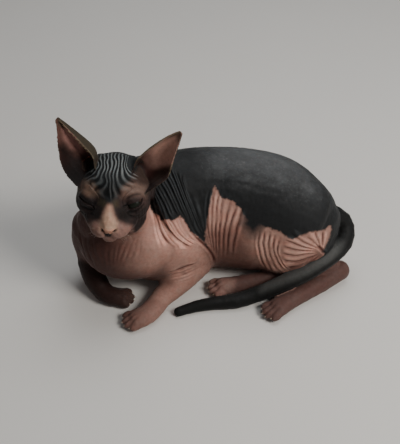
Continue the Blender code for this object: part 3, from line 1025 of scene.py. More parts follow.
class Muzzle:
    """Nose leather, nostrils, mouth and whisker pads, carved in the head's own axes."""

    LIP = ((0.0, -2.38), (0.25, -2.5), (0.8, -2.66), (1.5, -2.58), (2.1, -2.30))
    PHILTRUM = ((0.0, -1.85), (0.0, -2.4))
    NOSTRIL = ((0.08, -1.70), (0.28, -1.69), (0.46, -1.65), (0.58, -1.56))
    LEATHER = ((0.0, -1.28), (0.35, -1.3), (0.62, -1.42), (0.5, -1.72), (0.2, -1.92), (0.0, -1.95))
    LEATHER_MM = 0.35
    PORE_MM = 0.12

    @staticmethod
    def right(line: Outline) -> Outline:
        """The same line on the cat's right side."""
        return tuple((-x, z) for x, z in line)

    def carve(self, skin: SkinMesh) -> tuple[np.ndarray, np.ndarray]:
        """Carves the front of the face.

        Args:
            skin: The skin to carve.

        Returns:
            How far each point lies in a carved line that takes painted shade, and on the nose leather,
            from 0 to 1.
        """
        spot = HEAD.local(skin.co)
        jaw = smoothstep(-2.6, -3.2, spot[:, 1]) * smoothstep(-1.9, -2.2, spot[:, 2])
        skin.relax(16, jaw * (np.abs(spot[:, 0]) < 3))
        spot = HEAD.local(skin.co)
        flat = spot[:, [0, 2]]
        front = smoothstep(-3.2, -3.9, spot[:, 1]) * (np.abs(spot[:, 0]) < 3) * (spot[:, 2] < 0)
        height = np.zeros(skin.count)
        dark = np.zeros(skin.count)
        lines = [(self.PHILTRUM, 0.6, 0.05)]
        for line, depth, width in ((self.LIP, 0.9, 0.055), (self.NOSTRIL, 1.6, 0.085)):
            lines += [(line, depth, width), (self.right(line), depth, width)]
        for line, depth, width in lines:
            r = reach(flat, curve(line, 4))
            dip = bell(r.distance, width) * front
            height -= depth * dip
            dark = np.maximum(dark, smoothstep(0.25, 0.8, dip))
        pad = self.LEATHER + self.right(self.LEATHER)[-2:0:-1]
        leather = smoothstep(-0.05, 0.06, inside(flat, pad)) * front
        height += self.LEATHER_MM * leather
        for side, row, k in product((-1, 1), range(4), range(5)):
            x = side * (0.75 + 0.22 * k + 0.05 * row)
            z = -1.85 - 0.17 * row + 0.03 * k
            away = np.hypot(flat[:, 0] - x, flat[:, 1] - z)
            height -= self.PORE_MM * bell(away, 0.05) * front
        skin.lift(height, 4)
        return dark, leather


@dataclass(frozen=True)
class Face:
    """What the carving leaves for the colours to follow, as values from 0 to 1.

    Attributes:
        wet: Rims of the lids.
        lines: Mouth and nostril lines, darkened as painted shade.
        leather: The nose leather.
    """

    wet: np.ndarray
    lines: np.ndarray
    leather: np.ndarray


@dataclass(frozen=True)
class Toes:
    """Four toes at the end of one foot.

    Attributes:
        foot: The node that carries them.
        middle: Middle of the toes on the model, in centimetres.
        way: The way they point.
        spread: Distance from toe to toe in centimetres.
    """

    CLEFT_MM: ClassVar[float] = 0.9
    KNUCKLE_MM: ClassVar[float] = 0.4

    foot: str
    middle: Spot
    way: tuple[float, float]
    spread: float = 0.56

    def axes(self) -> tuple[np.ndarray, np.ndarray, np.ndarray]:
        """Middle, way and side of the toes in metres."""
        way = np.array([*self.way, 0.0]) / math.hypot(*self.way)
        return np.array(self.middle) * CM, way, np.array([way[1], -way[0], 0.0])

    def carve(self, skin: SkinMesh, anatomy: Anatomy) -> np.ndarray:
        """Heights in millimetres that part the toes."""
        middle, way, side = self.axes()
        off = (skin.co - middle) / CM
        along, across = off @ way, off @ side
        tip = smoothstep(-1.1, -0.2, along) * anatomy.share(skin, self.foot, passes=3)
        height = np.zeros(skin.count)
        for place in (-1, 0, 1):
            height -= self.CLEFT_MM * bell(across - place * self.spread - 0.05 * place * along, 0.1)
        knuckle = bell(along + 0.25, 0.28) * smoothstep(0.3, 0.9, skin.normals[:, 2])
        return (height + self.KNUCKLE_MM * knuckle) * tip


TOES = (
    Toes("foreleg_left_paw", (-9.045, -7.56, 0.62), (-0.87, -0.5)),
    Toes("foreleg_right_paw", (-9.645, -4.26, 0.62), (0.99, -0.1)),
    Toes("hindleg_left_foot", (5.855, -6.26, 0.65), (-0.84, -0.54)),
    Toes("hindleg_right_foot", (0.055, -2.86, 0.7), (-0.95, -0.3)),
)


def tone(red: float, green: float, blue: float) -> np.ndarray:
    """A colour given in steps of 0 to 255, as linear values."""
    c = np.array([red, green, blue]) / 255.0
    return np.where(c <= 0.04045, c / 12.92, ((c + 0.055) / 1.055) ** 2.4)


def opaque(colour: Colour, share: float = 1.0) -> tuple[float, ...]:
    """A colour in steps of 0 to 255, or a share of it, as the value of a shader's socket."""
    return (*(share * c for c in tone(*colour)), 1)


@dataclass(frozen=True)
class Field:
    """An area drawn over the picture.

    Attributes:
        outline: Its outline in pixels.
        soft: Pixels over which it fades in from the outline.
        colour: Its colour, where it has one of its own.
        amount: Its strength in the middle.
    """

    outline: Outline
    soft: float
    colour: Colour = (0, 0, 0)
    amount: float = 1.0

    def cover(self, spots: np.ndarray) -> np.ndarray:
        """How far each pixel is covered, from 0 to 1."""
        found = np.zeros(len(spots))
        near = framed(spots, (self.outline,), self.soft)
        depth = inside(spots[near], self.outline)
        found[near] = smoothstep(-self.soft / 2, self.soft / 2, depth) * self.amount
        return found


class Markings:
    """The cat's colours, a black back and tail over pink, a dark mask and a pale blaze, with painted light
    and shade.
    """

    BORDER = (
        *((148, 198), (150, 207), (153, 213), (158, 215), (161, 220), (168, 220), (171, 221), (176, 219)),
        *((180, 216), (183, 219), (187, 226), (190, 231), (195, 235), (200, 239), (204, 243), (208, 249)),
        *((206, 243), (205, 235), (207, 225), (209, 212), (211, 200), (213, 192), (215, 186), (217, 190)),
        *((218, 193), (222, 198), (228, 200), (233, 201), (237, 206), (241, 209), (241, 220), (239, 224)),
        *((242, 228), (245, 232), (249, 236), (255, 237), (261, 232), (265, 228), (268, 227), (272, 229)),
        *((276, 231), (280, 232), (288, 238), (293, 240), (300, 236), (310, 232), (320, 231), (325, 230)),
        *((330, 226), (331, 229), (329, 238), (325, 247), (322, 252), (340, 262), (420, 262), (420, 60)),
        *((40, 60), (40, 180), (90, 185), (120, 190)),
    )
    BACK = tone(30, 31, 32)
    # Painted highlight on the ridges of the black folds, and painted shade in their creases.
    BACK_RIDGE_HIGHLIGHT = tone(72, 75, 77)
    BACK_CREASE_SHADE = tone(9, 10, 11)
    # Painted sheen where the top of the back catches the light.
    BACK_TOP_SHEEN = tone(70, 71, 72)
    BELLY = tone(154, 122, 110)
    # Painted light on the pink where the shoulder catches it.
    BELLY_LIT = tone(185, 145, 131)
    SHOULDER_OUTLINE = ((146, 205), (185, 218), (206, 246), (190, 256), (160, 250), (146, 240))
    SHOULDER = Field(SHOULDER_OUTLINE, 16, amount=0.9)
    # Painted shade on the pink: low on the flank, by the hip under the tail and under the chest.
    BELLY_PAINTED_SHADE = tone(98, 70, 62)
    LOW_FLANK_SHADE = Field(((204, 228), (238, 226), (252, 256), (290, 284), (212, 284)), 20, amount=0.9)
    HIP_SHADE = Field(((288, 266), (308, 254), (322, 251), (328, 262), (292, 282)), 8, amount=0.8)
    KEEL_SHADE = Field(((70, 258), (100, 272), (150, 272), (166, 264), (172, 284), (70, 292)), 16, amount=0.8)
    FADED = Field(((240, 214), (262, 222), (264, 240), (240, 246)), 8)
    # Painted light on the top of the tail.
    TAIL_TOP_LIGHT = tone(76, 76, 74)
    TAIL_LIT = Field(
        ((262, 274), (300, 254), (326, 240), (342, 244), (338, 262), (300, 280), (262, 290)),
        16,
    )
    # Painted shade in the creases of the pink folds.
    BELLY_CREASE_SHADE = tone(78, 38, 32)
    # Painted shade on the chest and on the feet, away from the light.
    CHEST_SHADE = tone(72, 49, 44)
    FEET_SHADE = tone(80, 60, 56)
    PADS = tone(138, 110, 101)
    SOLE = Field(((200, 277), (222, 275), (236, 280), (232, 294), (208, 300), (198, 292)), 8, amount=0.8)
    TAIL = tone(18, 18, 17)
    EAR_BACK = tone(58, 51, 40)
    # Painted light in the ear cups, fading towards the foot of the ear to painted shade over darker skin.
    EAR_LIT = tone(112, 72, 64)
    EAR_DEEP_SKIN_AND_SHADE = tone(30, 17, 16)
    FOREHEAD = tone(26, 28, 29)
    # Painted highlight on the ridges of the forehead folds.
    FOREHEAD_RIDGE_HIGHLIGHT = tone(108, 111, 110)
    SKULL = tone(36, 36, 36)
    # Dark colour of the wet lid rims, also used as painted shade in the mouth and nostril lines and the
    # temple hollows.
    WET_RIM_AND_SHADE = tone(30, 16, 14)
    LEATHER = tone(214, 160, 132)
    # The face's own patches, and some painted shade: on the left side of the muzzle, under the nose, in
    # the mouth and at the eye's inner corner.
    FACE_MARKS_AND_SHADE = (
        Field(((70, 180), (98, 176), (108, 200), (104, 224), (92, 232), (70, 232)), 8, (36, 28, 27)),
        Field(
            ((112, 200), (120, 186), (140, 172), (156, 185), (154, 232), (132, 240), (116, 224)),
            8,
            (46, 35, 33),
        ),
        Field(((79, 181), (97, 180), (100, 190), (98, 196), (86, 196), (79, 190)), 9, (106, 87, 74), 0.9),
        Field(
            ((121, 186), (134, 181), (147, 185), (146, 197), (134, 196), (122, 198)),
            9,
            (106, 84, 74),
            0.95,
        ),
        Field(
            ((133, 160), (143, 158), (150, 170), (151, 184), (140, 184), (130, 176)),
            7,
            (62, 47, 41),
            0.95,
        ),
        Field(((139, 203), (146, 198), (148, 208), (143, 214), (137, 213)), 6, (74, 58, 54), 0.7),
        Field(((80, 193), (90, 200), (99, 203), (100, 208), (90, 206), (79, 199)), 4, (18, 14, 14), 0.9),
        Field(((99, 198), (107, 200), (106, 205), (102, 209), (98, 205)), 5, (62, 57, 43), 0.8),
        Field(((111, 199), (118, 200), (119, 207), (115, 208), (112, 204)), 5, (60, 54, 40), 0.8),
        Field(
            ((88, 207), (101, 205), (104, 213), (101, 219), (92, 224), (87, 218)),
            6,
            (34, 27, 25),
            0.95,
        ),
        Field(((117, 208), (131, 209), (133, 216), (128, 221), (119, 219)), 6, (27, 23, 21), 0.95),
        Field(((135, 212), (147, 205), (149, 230), (137, 233), (132, 224)), 5, (34, 29, 28), 0.9),
        Field(
            (
                *((109.5, 202), (111.5, 206), (114, 214), (117, 220), (124, 224), (132, 226), (134, 242)),
                *((84, 242), (87, 226), (95, 222), (101, 219), (103.5, 212), (107, 206)),
            ),
            7,
            (133, 106, 97),
        ),
        Field(
            (
                *((109.5, 203), (111.5, 207), (113, 215), (117, 223), (117, 231), (100, 231), (99, 224)),
                *((103, 215), (107, 207)),
            ),
            7,
            (184, 154, 132),
            0.95,
        ),
        # Painted shade on the left side of the muzzle.
        Field(((84, 222), (98, 222), (101, 240), (84, 240)), 10, (104, 82, 74), 0.7),
        # Painted shade along the lower edge of the nose leather.
        Field(
            ((101, 228.5), (108.5, 231.4), (117.5, 228.5), (117, 231), (108.5, 234), (101, 231)),
            2,
            (56, 36, 30),
            0.8,
        ),
        # Painted shadow under the nose, in the mouth.
        Field(((103.5, 232), (112.5, 232), (111, 236.5), (105, 236.5)), 2, (10, 5, 5)),
        # Painted shade that extends the inner corner of the open eye.
        Field(((121.5, 207), (128, 202), (131, 208), (124, 209)), 3, (10, 8, 7), 0.9),
    )
    CROWN = Field(
        (
            *((92, 138), (142, 138), (140, 160), (137, 170), (128, 180), (120, 189), (111, 204)),
            *((108, 204), (99, 190), (94, 182), (86, 176), (88, 160)),
        ),
        6,
    )
    # Patches in the ear cups: their own colours, painted light where the cups lie in shade, and painted
    # shade in the left ear's lower pocket.
    EARS = (
        Field(((56, 112), (70, 128), (84, 142), (82, 152), (72, 156), (60, 150)), 10, (70, 52, 45), 0.9),
        # Painted light where the left cup lies in shade.
        Field(
            ((62, 122), (76, 134), (86, 147), (80, 153), (70, 148), (64, 138)),
            9,
            (184, 134, 124),
            0.85,
        ),
        # Painted shade in the left ear's lower pocket, over its darker skin.
        Field(
            ((56, 142), (66, 146), (76, 155), (94, 160), (92, 182), (72, 188), (58, 172)),
            12,
            (11, 7, 7),
        ),
        Field(((54, 108), (66, 118), (64, 128), (58, 126)), 5, (66, 56, 46), 0.9),
        # Painted light on the right cup, which lies in shade.
        Field(
            ((140, 160), (160, 142), (184, 132), (184, 150), (176, 166), (160, 168), (150, 168)),
            8,
            (210, 164, 148),
        ),
        Field(((136, 152), (152, 152), (156, 166), (152, 178), (140, 176)), 12, (62, 34, 30), 0.9),
        Field(((160, 168), (176, 164), (176, 184), (160, 190), (152, 182)), 8, (60, 46, 41), 0.9),
        Field(((172, 128), (188, 128), (188, 142), (178, 142)), 6, (74, 60, 50), 0.8),
    )
    RIMS = (
        ((77, 139), (84, 147), (89, 152), (93, 158)),
        ((137, 161), (144, 153), (153, 146.5), (166, 138), (178, 132.5)),
        ((183, 140), (180, 150), (176, 160), (170, 168), (170, 176), (166, 184)),
    )
    RIM = tone(112, 102, 82)
    BORDER_HEIGHT = 0.062
    BREAST_RISE = 0.062
    PIXEL_MM = 1.15
    FAR_MM = 20.0
    EAR_FOOT = (2.6, -1.6, 0.6)
    EAR_TIP = (5.2, 0.6, 6.6)
    SEED = 23

    def __init__(self, skin: SkinMesh, anatomy: Anatomy) -> None:
        """Keeps the skin and its parts at hand."""
        self.skin = skin
        self.anatomy = anatomy
        self.noise = Noise(self.SEED)
        self.spots = VIEW.pixels(skin.co)
        self.front = smoothstep(-0.05, 0.2, VIEW.facing(skin.co, skin.spread(skin.normals, 8)))
        self.broad_normals = skin.spread(skin.normals, 60)
        self.near_side = smoothstep(0.02, 0.16, VIEW.facing(skin.co, self.broad_normals))
        self.up = skin.spread(skin.normals, 12)[:, 2]
        self.towards_rump = smoothstep(185, 225, self.spots[:, 0])

    def share(self, *wanted: Part | str, passes: int = 6) -> np.ndarray:
        """How far each point belongs to the wanted parts or nodes."""
        return self.anatomy.share(self.skin, *wanted, passes=passes)

    def shown(self, field: Field) -> np.ndarray:
        """How far a field covers each point on the side that the picture shows."""
        return field.cover(self.spots) * self.front

    def border(self) -> np.ndarray:
        """Signed distance in millimetres to the edge of the black, positive inside it."""
        co = self.skin.co
        near = np.full(self.skin.count, self.FAR_MM)
        seen = self.near_side > 0
        near[seen] = inside(self.spots[seen], self.BORDER) * self.PIXEL_MM
        near = np.clip(near, -self.FAR_MM, self.FAR_MM)
        wobble = 0.012 * self.noise.layers(co * (1, 1, 0.3), 0.03, 3)
        border = self.BORDER_HEIGHT + self.BREAST_RISE * smoothstep(-0.075, -0.125, co[:, 0])
        far = np.clip((co[:, 2] - border - wobble) / MM, -self.FAR_MM, self.FAR_MM)
        far = lerp(far, self.FAR_MM, smoothstep(0.12, 0.14, co[:, 0]))
        under = smoothstep(0.15, -0.15, self.broad_normals[:, 2]) * (1 - self.share(Part.NECK))
        far = lerp(far, -self.FAR_MM, under * smoothstep(-0.02, -0.06, co[:, 0]))
        edge = lerp(far, near, self.near_side)
        edge = lerp(edge, self.FAR_MM, self.share(Part.TAIL, passes=3))
        for part in (Part.FOREARMS, Part.PAWS, Part.HOCKS):
            edge = lerp(edge, -self.FAR_MM, self.share(part, passes=3))
        return edge

    def black(self, height: np.ndarray) -> np.ndarray:
        """Colours of the dark skin, on the back and the tail, with painted sheen, highlights and shade
        laid over them.

        Args:
            height: Height of the folds in millimetres.

        Returns:
            One colour for each point.
        """
        dark = np.tile(self.BACK, (self.skin.count, 1))
        # Painted sheen on the top of the back, strongest towards the rump.
        dark = lerp(dark, self.BACK_TOP_SHEEN, smoothstep(0.7, 1.0, self.up) * (0.2 + 0.8 * self.towards_rump))
        # Painted highlights on the fold ridges and painted shade in the creases.
        dark = lerp(dark, self.BACK_RIDGE_HIGHLIGHT, 0.7 * smoothstep(0.1, 0.7, height))
        dark = lerp(dark, self.BACK_CREASE_SHADE, 0.8 * smoothstep(-0.1, -0.9, height))
        # Painted shade towards the shoulders and neck, away from the light.
        dark = lerp(dark, dark * 0.68, smoothstep(228, 196, self.spots[:, 0]) * self.front)
        tail = self.share(Part.TAIL, passes=12)
        dark = lerp(dark, self.TAIL, tail * 0.92)
        # Painted light on the top of the tail, where it faces up.
        return lerp(dark, self.TAIL_TOP_LIGHT, tail * smoothstep(0.1, 0.8, self.up) * self.shown(self.TAIL_LIT))

    def pink(self, height: np.ndarray) -> np.ndarray:
        """Colours of the pink skin, on the belly, the chest and the legs, with painted light and shade
        laid over them.

        Args:
            height: Height of the folds in millimetres.

        Returns:
            One colour for each point.
        """
        co = self.skin.co
        # Painted shade on the front of the chest, deepest on the side away from the light.
        shaded = smoothstep(160, 104, self.spots[:, 0]) * smoothstep(-0.02, -0.07, co[:, 0])
        shaded = np.clip(shaded * (0.35 + 0.65 * self.front), 0, 1)
        # Painted shade on the paws, and darker on the far foreleg and paw.
        paws = self.share(Part.PAWS, passes=30) * np.where(co[:, 0] > -0.04, 0.7, 0.3)
        far_arm_shade = self.share("foreleg_right_paw", "foreleg_right_forearm", passes=20) * self.front
        pink = np.tile(self.BELLY, (self.skin.count, 1))
        # Painted light on the shoulder; painted shade low on the flank, by the hip, on and under the chest
        # and on the feet.
        for colour, share in (
            (self.BELLY_LIT, self.shown(self.SHOULDER)),
            (self.BELLY_PAINTED_SHADE, self.shown(self.LOW_FLANK_SHADE)),
            (self.BELLY_PAINTED_SHADE, self.shown(self.HIP_SHADE)),
            (self.CHEST_SHADE, shaded),
            (self.CHEST_SHADE, self.shown(self.KEEL_SHADE)),
            (self.FEET_SHADE, self.share(Part.HOCKS, passes=10) * 0.9),
            (self.FEET_SHADE, paws),
        ):
            pink = lerp(pink, colour, share)
        pink = lerp(pink, pink * 0.36, far_arm_shade)
        pink = lerp(pink, self.PADS, self.shown(self.SOLE))
        # Painted highlights on the fold ridges and painted shade in the creases.
        pink = lerp(pink, pink * 1.7, smoothstep(0.1, 0.7, height) * (1 - 0.5 * shaded))
        return lerp(pink, self.BELLY_CREASE_SHADE, 0.9 * smoothstep(-0.1, -0.9, height))

    def head(self, height: np.ndarray, face: Face) -> np.ndarray:
        """Colours of the head, with painted highlights and painted shade laid over them.

        Args:
            height: Height of the folds in millimetres.
            face: The carvings of the face.

        Returns:
            One colour for each point.
        """
        found = np.tile(self.SKULL, (self.skin.count, 1))
        for field in self.FACE_MARKS_AND_SHADE:
            found = lerp(found, tone(*field.colour), self.shown(field))
        # Pink under the jaw, darkened as painted shade.
        under = smoothstep(-1.5, -2.6, HEAD.local(self.skin.co)[:, 2]) * (1 - self.front)
        found = lerp(found, self.BELLY * 0.6, under)
        found = lerp(found, self.FOREHEAD, self.shown(self.CROWN))
        # Painted highlights on the ridges of the forehead folds.
        row = self.spots[:, 1]
        brow = (0.3 + 0.7 * smoothstep(184, 172, row)) * smoothstep(204, 192, row)
        ridge = smoothstep(-0.05, 0.42, height) * self.front * brow
        found = lerp(found, found + self.FOREHEAD_RIDGE_HIGHLIGHT, ridge)
        # Painted shade in the creases.
        found = lerp(found, found * 0.3, smoothstep(0.0, -0.5, height))
        found = lerp(found, self.LEATHER, face.leather * 0.6)
        # Dark wet lid rims, and painted shade in the mouth and nostril lines.
        return lerp(found, self.WET_RIM_AND_SHADE, np.maximum(face.wet, face.lines) * 0.95)

    def ears(self) -> np.ndarray:
        """Colours of the ears, olive outside and reddish in the cup, with painted light and shade in the
        cup and the temple hollows.
        """
        skin = self.skin
        found = np.tile(self.EAR_BACK, (skin.count, 1))
        spot = HEAD.local(skin.co)
        way = skin.normals @ HEAD.axes
        for side in (-1, 1):
            foot, tip = mirrored((self.EAR_FOOT, self.EAR_TIP), side)
            along = (tip - foot) / np.linalg.norm(tip - foot)
            off = spot - foot
            radial = off - (off @ along)[:, None] * along
            radial /= np.maximum(np.linalg.norm(radial, axis=1), WELD)[:, None]
            cup = smoothstep(-0.05, -0.45, np.sum(way * radial, axis=1)) * (spot[:, 0] * side > 1)
            cup = skin.spread(cup, 2)
            # Painted light in the cup, fading to painted shade over darker skin towards the ear's foot.
            inner = np.tile(self.EAR_LIT, (skin.count, 1))
            inner = lerp(inner, self.EAR_DEEP_SKIN_AND_SHADE, smoothstep(3.4, 1.2, off @ along))
            found = lerp(found, inner, cup)
            # The cups' patches, some of them painted light and painted shade.
            for field in self.EARS:
                found = lerp(found, tone(*field.colour), self.shown(field) * cup * 0.9)
        # Painted shade in the temple hollows.
        found = lerp(found, self.WET_RIM_AND_SHADE, np.clip(2 * TEMPLE.press(skin), 0, 0.9))
        for rim in self.RIMS:
            near = smoothstep(1.3, 0.4, reach(self.spots, curve(rim)).distance)
            found = lerp(found, self.RIM, near * self.front * 0.6)
        return found

    def paint(self, height: np.ndarray, face: Face) -> None:
        """Stores the colours on the skin.

        Args:
            height: Height of the folds in millimetres.
            face: The carvings of the face.
        """
        skin = self.skin
        head, ears = self.head(height, face), self.ears()
        on_head = self.share(Part.HEAD, passes=10)
        on_ears = self.share(Part.EARS)
        for name, body in (("dark_tint", self.black(height)), ("pink_tint", self.pink(height))):
            skin.values(name, lerp(lerp(body, head, on_head), ears, on_ears))
        skin.values("dark_edge", self.border())
        skin.values("faded", self.shown(self.FADED))
        wetness = 0.3 * face.wet + 0.6 * face.leather + 0.5 * face.lines
        skin.values("wetness", np.clip(wetness, 0, 1))
        # Mask of the painted sheen on the top of the back: strongest towards the rump, weak on the tail,
        # none on the head, ears and nose.
        bare = 1 - np.maximum(self.share(Part.EARS, passes=4), face.leather)
        bare = bare * (1 - 0.8 * self.share(Part.TAIL, passes=12)) * (1 - on_head)
        skin.values("bloom", smoothstep(0.55, 1.0, self.up) * bare * (0.15 + 0.85 * self.towards_rump))


class Nodes:
    """Shorthand for building one material's node tree."""

    def __init__(self, name: str) -> None:
        """Makes a material with a Principled shader.

        Args:
            name: The material's name.
        """
        self.material = bpy.data.materials.new(name)
        self.material.use_nodes = True
        self.tree = self.material.node_tree
        self.shader = next(n for n in self.tree.nodes if n.type == "BSDF_PRINCIPLED")

    def add(self, kind: str, **inputs: object) -> bpy.types.Node:
        """Adds a node; inputs are named with underscores, or in0, in1 and so on by place.

        Args:
            kind: Blender's name of the node, without ShaderNode.
            **inputs: Values or sockets for the node's inputs, or its own settings.

        Returns:
            The new node.
        """
        node = self.tree.nodes.new("ShaderNode" + kind)
        for key, value in inputs.items():
            if key.startswith("in") and key[2:].isdigit():
                self.plug(node.inputs[int(key[2:])], value)
            elif key.replace("_", " ").title() in node.inputs:
                self.plug(node.inputs[key.replace("_", " ").title()], value)
            else:
                setattr(node, key, value)
        return node

    def plug(self, socket: bpy.types.NodeSocket, value: object) -> None:
        """Links a socket or sets its value."""
        if isinstance(value, bpy.types.NodeSocket):
            self.tree.links.new(value, socket)
        else:
            socket.default_value = value

    def place(self) -> bpy.types.NodeSocket:
        """Coordinates that lie still on the object."""
        return self.add("TexCoord").outputs["Object"]

    def stored(self, name: str, colour: bool = False) -> bpy.types.NodeSocket:
        """A value stored on the mesh."""
        return self.add("Attribute", attribute_name=name).outputs["Color" if colour else "Fac"]

    def noise(self, scale: float, detail: float = 3.0, rough: float = 0.55) -> bpy.types.NodeSocket:
        """Noise of the given scale per metre."""
        node = self.add("TexNoise", in0=self.place(), scale=scale, detail=detail, roughness=rough)
        return node.outputs[0]

    def map(self, value: object, *ends: float) -> bpy.types.NodeSocket:
        """Maps one range of numbers to another, clamped.

        Args:
            value: The number or socket.
            ends: Low and high end of its range, then what they become.

        Returns:
            The result's socket.
        """
        low, high, to_low, to_high = ends
        node = self.add("MapRange", in0=value, in1=low, in2=high, in3=to_low, in4=to_high)
        return node.outputs[0]

    def math(self, operation: str, a: object, b: object = 0.0) -> bpy.types.NodeSocket:
        """One sum of two numbers."""
        return self.add("Math", operation=operation, in0=a, in1=b).outputs[0]

    def grey(self, value: object) -> bpy.types.NodeSocket:
        """The grey of a number."""
        return self.add("CombineColor", in0=value, in1=value, in2=value).outputs[0]

    def mix(self, share: object, a: object, b: object, blend: str = "MIX") -> bpy.types.NodeSocket:
        """Mixes two colours."""
        node = self.tree.nodes.new("ShaderNodeMix")
        node.data_type = "RGBA"
        node.blend_type = blend
        for socket, value in zip((node.inputs[0], node.inputs[6], node.inputs[7]), (share, a, b)):
            self.plug(socket, value)
        return node.outputs[2]

    def bump(self, height: bpy.types.NodeSocket, strength: float, distance: float) -> None:
        """Adds fine relief below what the shader has so far."""
        below = self.shader.inputs["Normal"].links
        node = self.add("Bump", height=height, strength=strength, distance=distance)
        if below:
            self.tree.links.new(below[0].from_socket, node.inputs["Normal"])
        self.tree.links.new(node.outputs[0], self.shader.inputs["Normal"])

    def set(self, **values: object) -> None:
        """Sets or links the shader's own sockets."""
        for key, value in values.items():
            name = key.replace("_", " ").title().replace("Ior", "IOR")
            self.plug(self.shader.inputs[name], value)


@dataclass(frozen=True)
class SkinFinish:
    """Bare velvety skin with a fine crepe.

    Attributes:
        ragged_mm: How far the border of the black strays.
        mottle: Strength of the blotches.
        fuzz: Sheen of the fine down.
        pore_depth: Depth of the pores in metres.
        flush: What the pink is multiplied by where it flushes.
        sheen_and_dust: Linear colour of the broad pale painted sheen on top of the black, partly dust on
            the skin.
        flakes: Linear colour of its small dry speckles.
    """

    ragged_mm: float = 3.0
    mottle: float = 0.22
    fuzz: float = 0.04
    pore_depth: float = 0.00018
    flush: tuple[float, float, float, float] = (1.0, 0.66, 0.6, 1)
    sheen_and_dust: tuple[float, float, float, float] = (0.11, 0.113, 0.115, 1)
    flakes: tuple[float, float, float, float] = (0.14, 0.145, 0.145, 1)

    def material(self) -> bpy.types.Material:
        """Builds the material."""
        n = Nodes("bare_skin")
        stray = n.math("SUBTRACT", n.noise(230, 5, 0.65), 0.5)
        edge = n.math("ADD", n.stored("dark_edge"), n.math("MULTIPLY", stray, self.ragged_mm * 2))
        edge = n.math("DIVIDE", edge, n.map(n.stored("faded"), 0.0, 1.0, 1.0, 7.0))
        black = n.map(edge, -1.1, 1.3, 0.0, 1.0)
        blotch = n.noise(95, 6, 0.7)
        pink = n.stored("pink_tint", True)
        flush = n.mix(1.0, pink, self.flush, "MULTIPLY")
        pink = n.mix(n.map(blotch, 0.35, 0.7, 0.0, 0.55), pink, flush)
        # Painted sheen: where the stored mask says the top of the back catches the light, the black turns
        # a mottled pale grey with small dry speckles.
        pale = n.map(n.noise(330, 4, 0.65), 0.55, 0.75, 0.0, 0.5)
        bloom = n.map(n.noise(44, 5, 0.65), 0.42, 0.72, 0.0, 0.6)
        dark = n.mix(bloom, n.stored("dark_tint", True), self.sheen_and_dust)
        dark = n.mix(pale, dark, self.flakes)
        dark = n.mix(n.stored("bloom"), n.stored("dark_tint", True), dark)
        colour = n.mix(black, pink, dark)
        shade = n.map(n.noise(300, 6, 0.7), 0.25, 0.75, 1 - self.mottle, 1 + self.mottle * 0.6)
        colour = n.mix(1.0, colour, n.grey(shade), "MULTIPLY")
        gloss = n.map(n.stored("wetness"), 0.0, 1.0, 0.62, 0.3)
        n.set(base_color=colour, roughness=gloss, sheen_weight=self.fuzz, sheen_roughness=0.5)
        n.set(subsurface_weight=0.08, subsurface_radius=(0.002, 0.001, 0.0006), subsurface_scale=1.0)
        n.set(specular_ior_level=n.map(n.stored("wetness"), 0.0, 1.0, 0.14, 0.5))
        pores = n.add("TexVoronoi", in0=n.place(), scale=1500).outputs[0]
        n.bump(pores, 0.35, self.pore_depth)
        n.bump(n.noise(700, 6, 0.65), 0.5, 0.0004)
        return n.material


@dataclass(frozen=True)
class EyeFinish:
    """A glossy eye with a grey-green iris and a wide dark pupil.

    Attributes:
        iris: Colour of the iris.
        ring: Colour of its dark outer ring.
        white: Colour of the eyeball beyond it.
        pupil: Linear colour of the pupil.
        ring_at: Degrees off the gaze over which the ring sets in.
        white_at: Degrees off the gaze over which the white sets in.
    """

    iris: Colour = (33, 36, 30)
    ring: Colour = (22, 22, 18)
    white: Colour = (60, 44, 38)
    pupil: tuple[float, float, float, float] = (0.004, 0.004, 0.004, 1)
    ring_at: tuple[float, float] = (38, 44)
    white_at: tuple[float, float] = (46, 52)

    def material(self) -> bpy.types.Material:
        """Builds the material."""
        n = Nodes("glossy_eye")
        off = n.stored("off_gaze")
        streaks = n.map(n.noise(2600, 3, 0.6), 0.3, 0.7, 0.6, 1.25)
        iris = n.mix(1.0, opaque(self.iris), n.grey(streaks), "MULTIPLY")
        colour = n.mix(n.map(off, *self.ring_at, 0.0, 1.0), iris, opaque(self.ring))
        colour = n.mix(n.map(off, *self.white_at, 0.0, 1.0), colour, opaque(self.white))
        colour = n.mix(n.map(n.stored("off_pupil"), 0.9, 1.15, 1.0, 0.0), colour, self.pupil)
        n.set(base_color=colour, roughness=0.32, specular_ior_level=0.1)
        return n.material


@dataclass(frozen=True)
class HornFinish:
    """Horn or hair in one colour, a little uneven.

    Attributes:
        name: Name of the material.
        colour: Its colour.
        roughness: How dull it is.
        scale: Grain of the unevenness per metre.
    """

    name: str
    colour: Colour
    roughness: float
    scale: float = 900.0

    def material(self) -> bpy.types.Material:
        """Builds the material."""
        n = Nodes(self.name)
        uneven = n.map(n.noise(self.scale, 4), 0.3, 0.7, 0.0, 0.5)
        colour = n.mix(uneven, opaque(self.colour), opaque(self.colour, 0.5))
        n.set(base_color=colour, roughness=self.roughness)
        n.bump(n.noise(self.scale * 2, 3), 0.3, 0.0001)
        return n.material


@dataclass(frozen=True)
class FloorFinish:
    """A plain pale studio floor.

    Attributes:
        colour: Its colour.
    """

    colour: Colour = (214, 211, 206)

    def material(self) -> bpy.types.Material:
        """Builds the material."""
        n = Nodes("studio_floor")
        uneven = n.map(n.noise(6, 3), 0.3, 0.7, 0.0, 0.15)
        colour = n.mix(uneven, opaque(self.colour), opaque(self.colour, 0.9))
        n.set(base_color=colour, roughness=0.8)
        n.bump(n.noise(400, 3), 0.1, 0.0003)
        return n.material


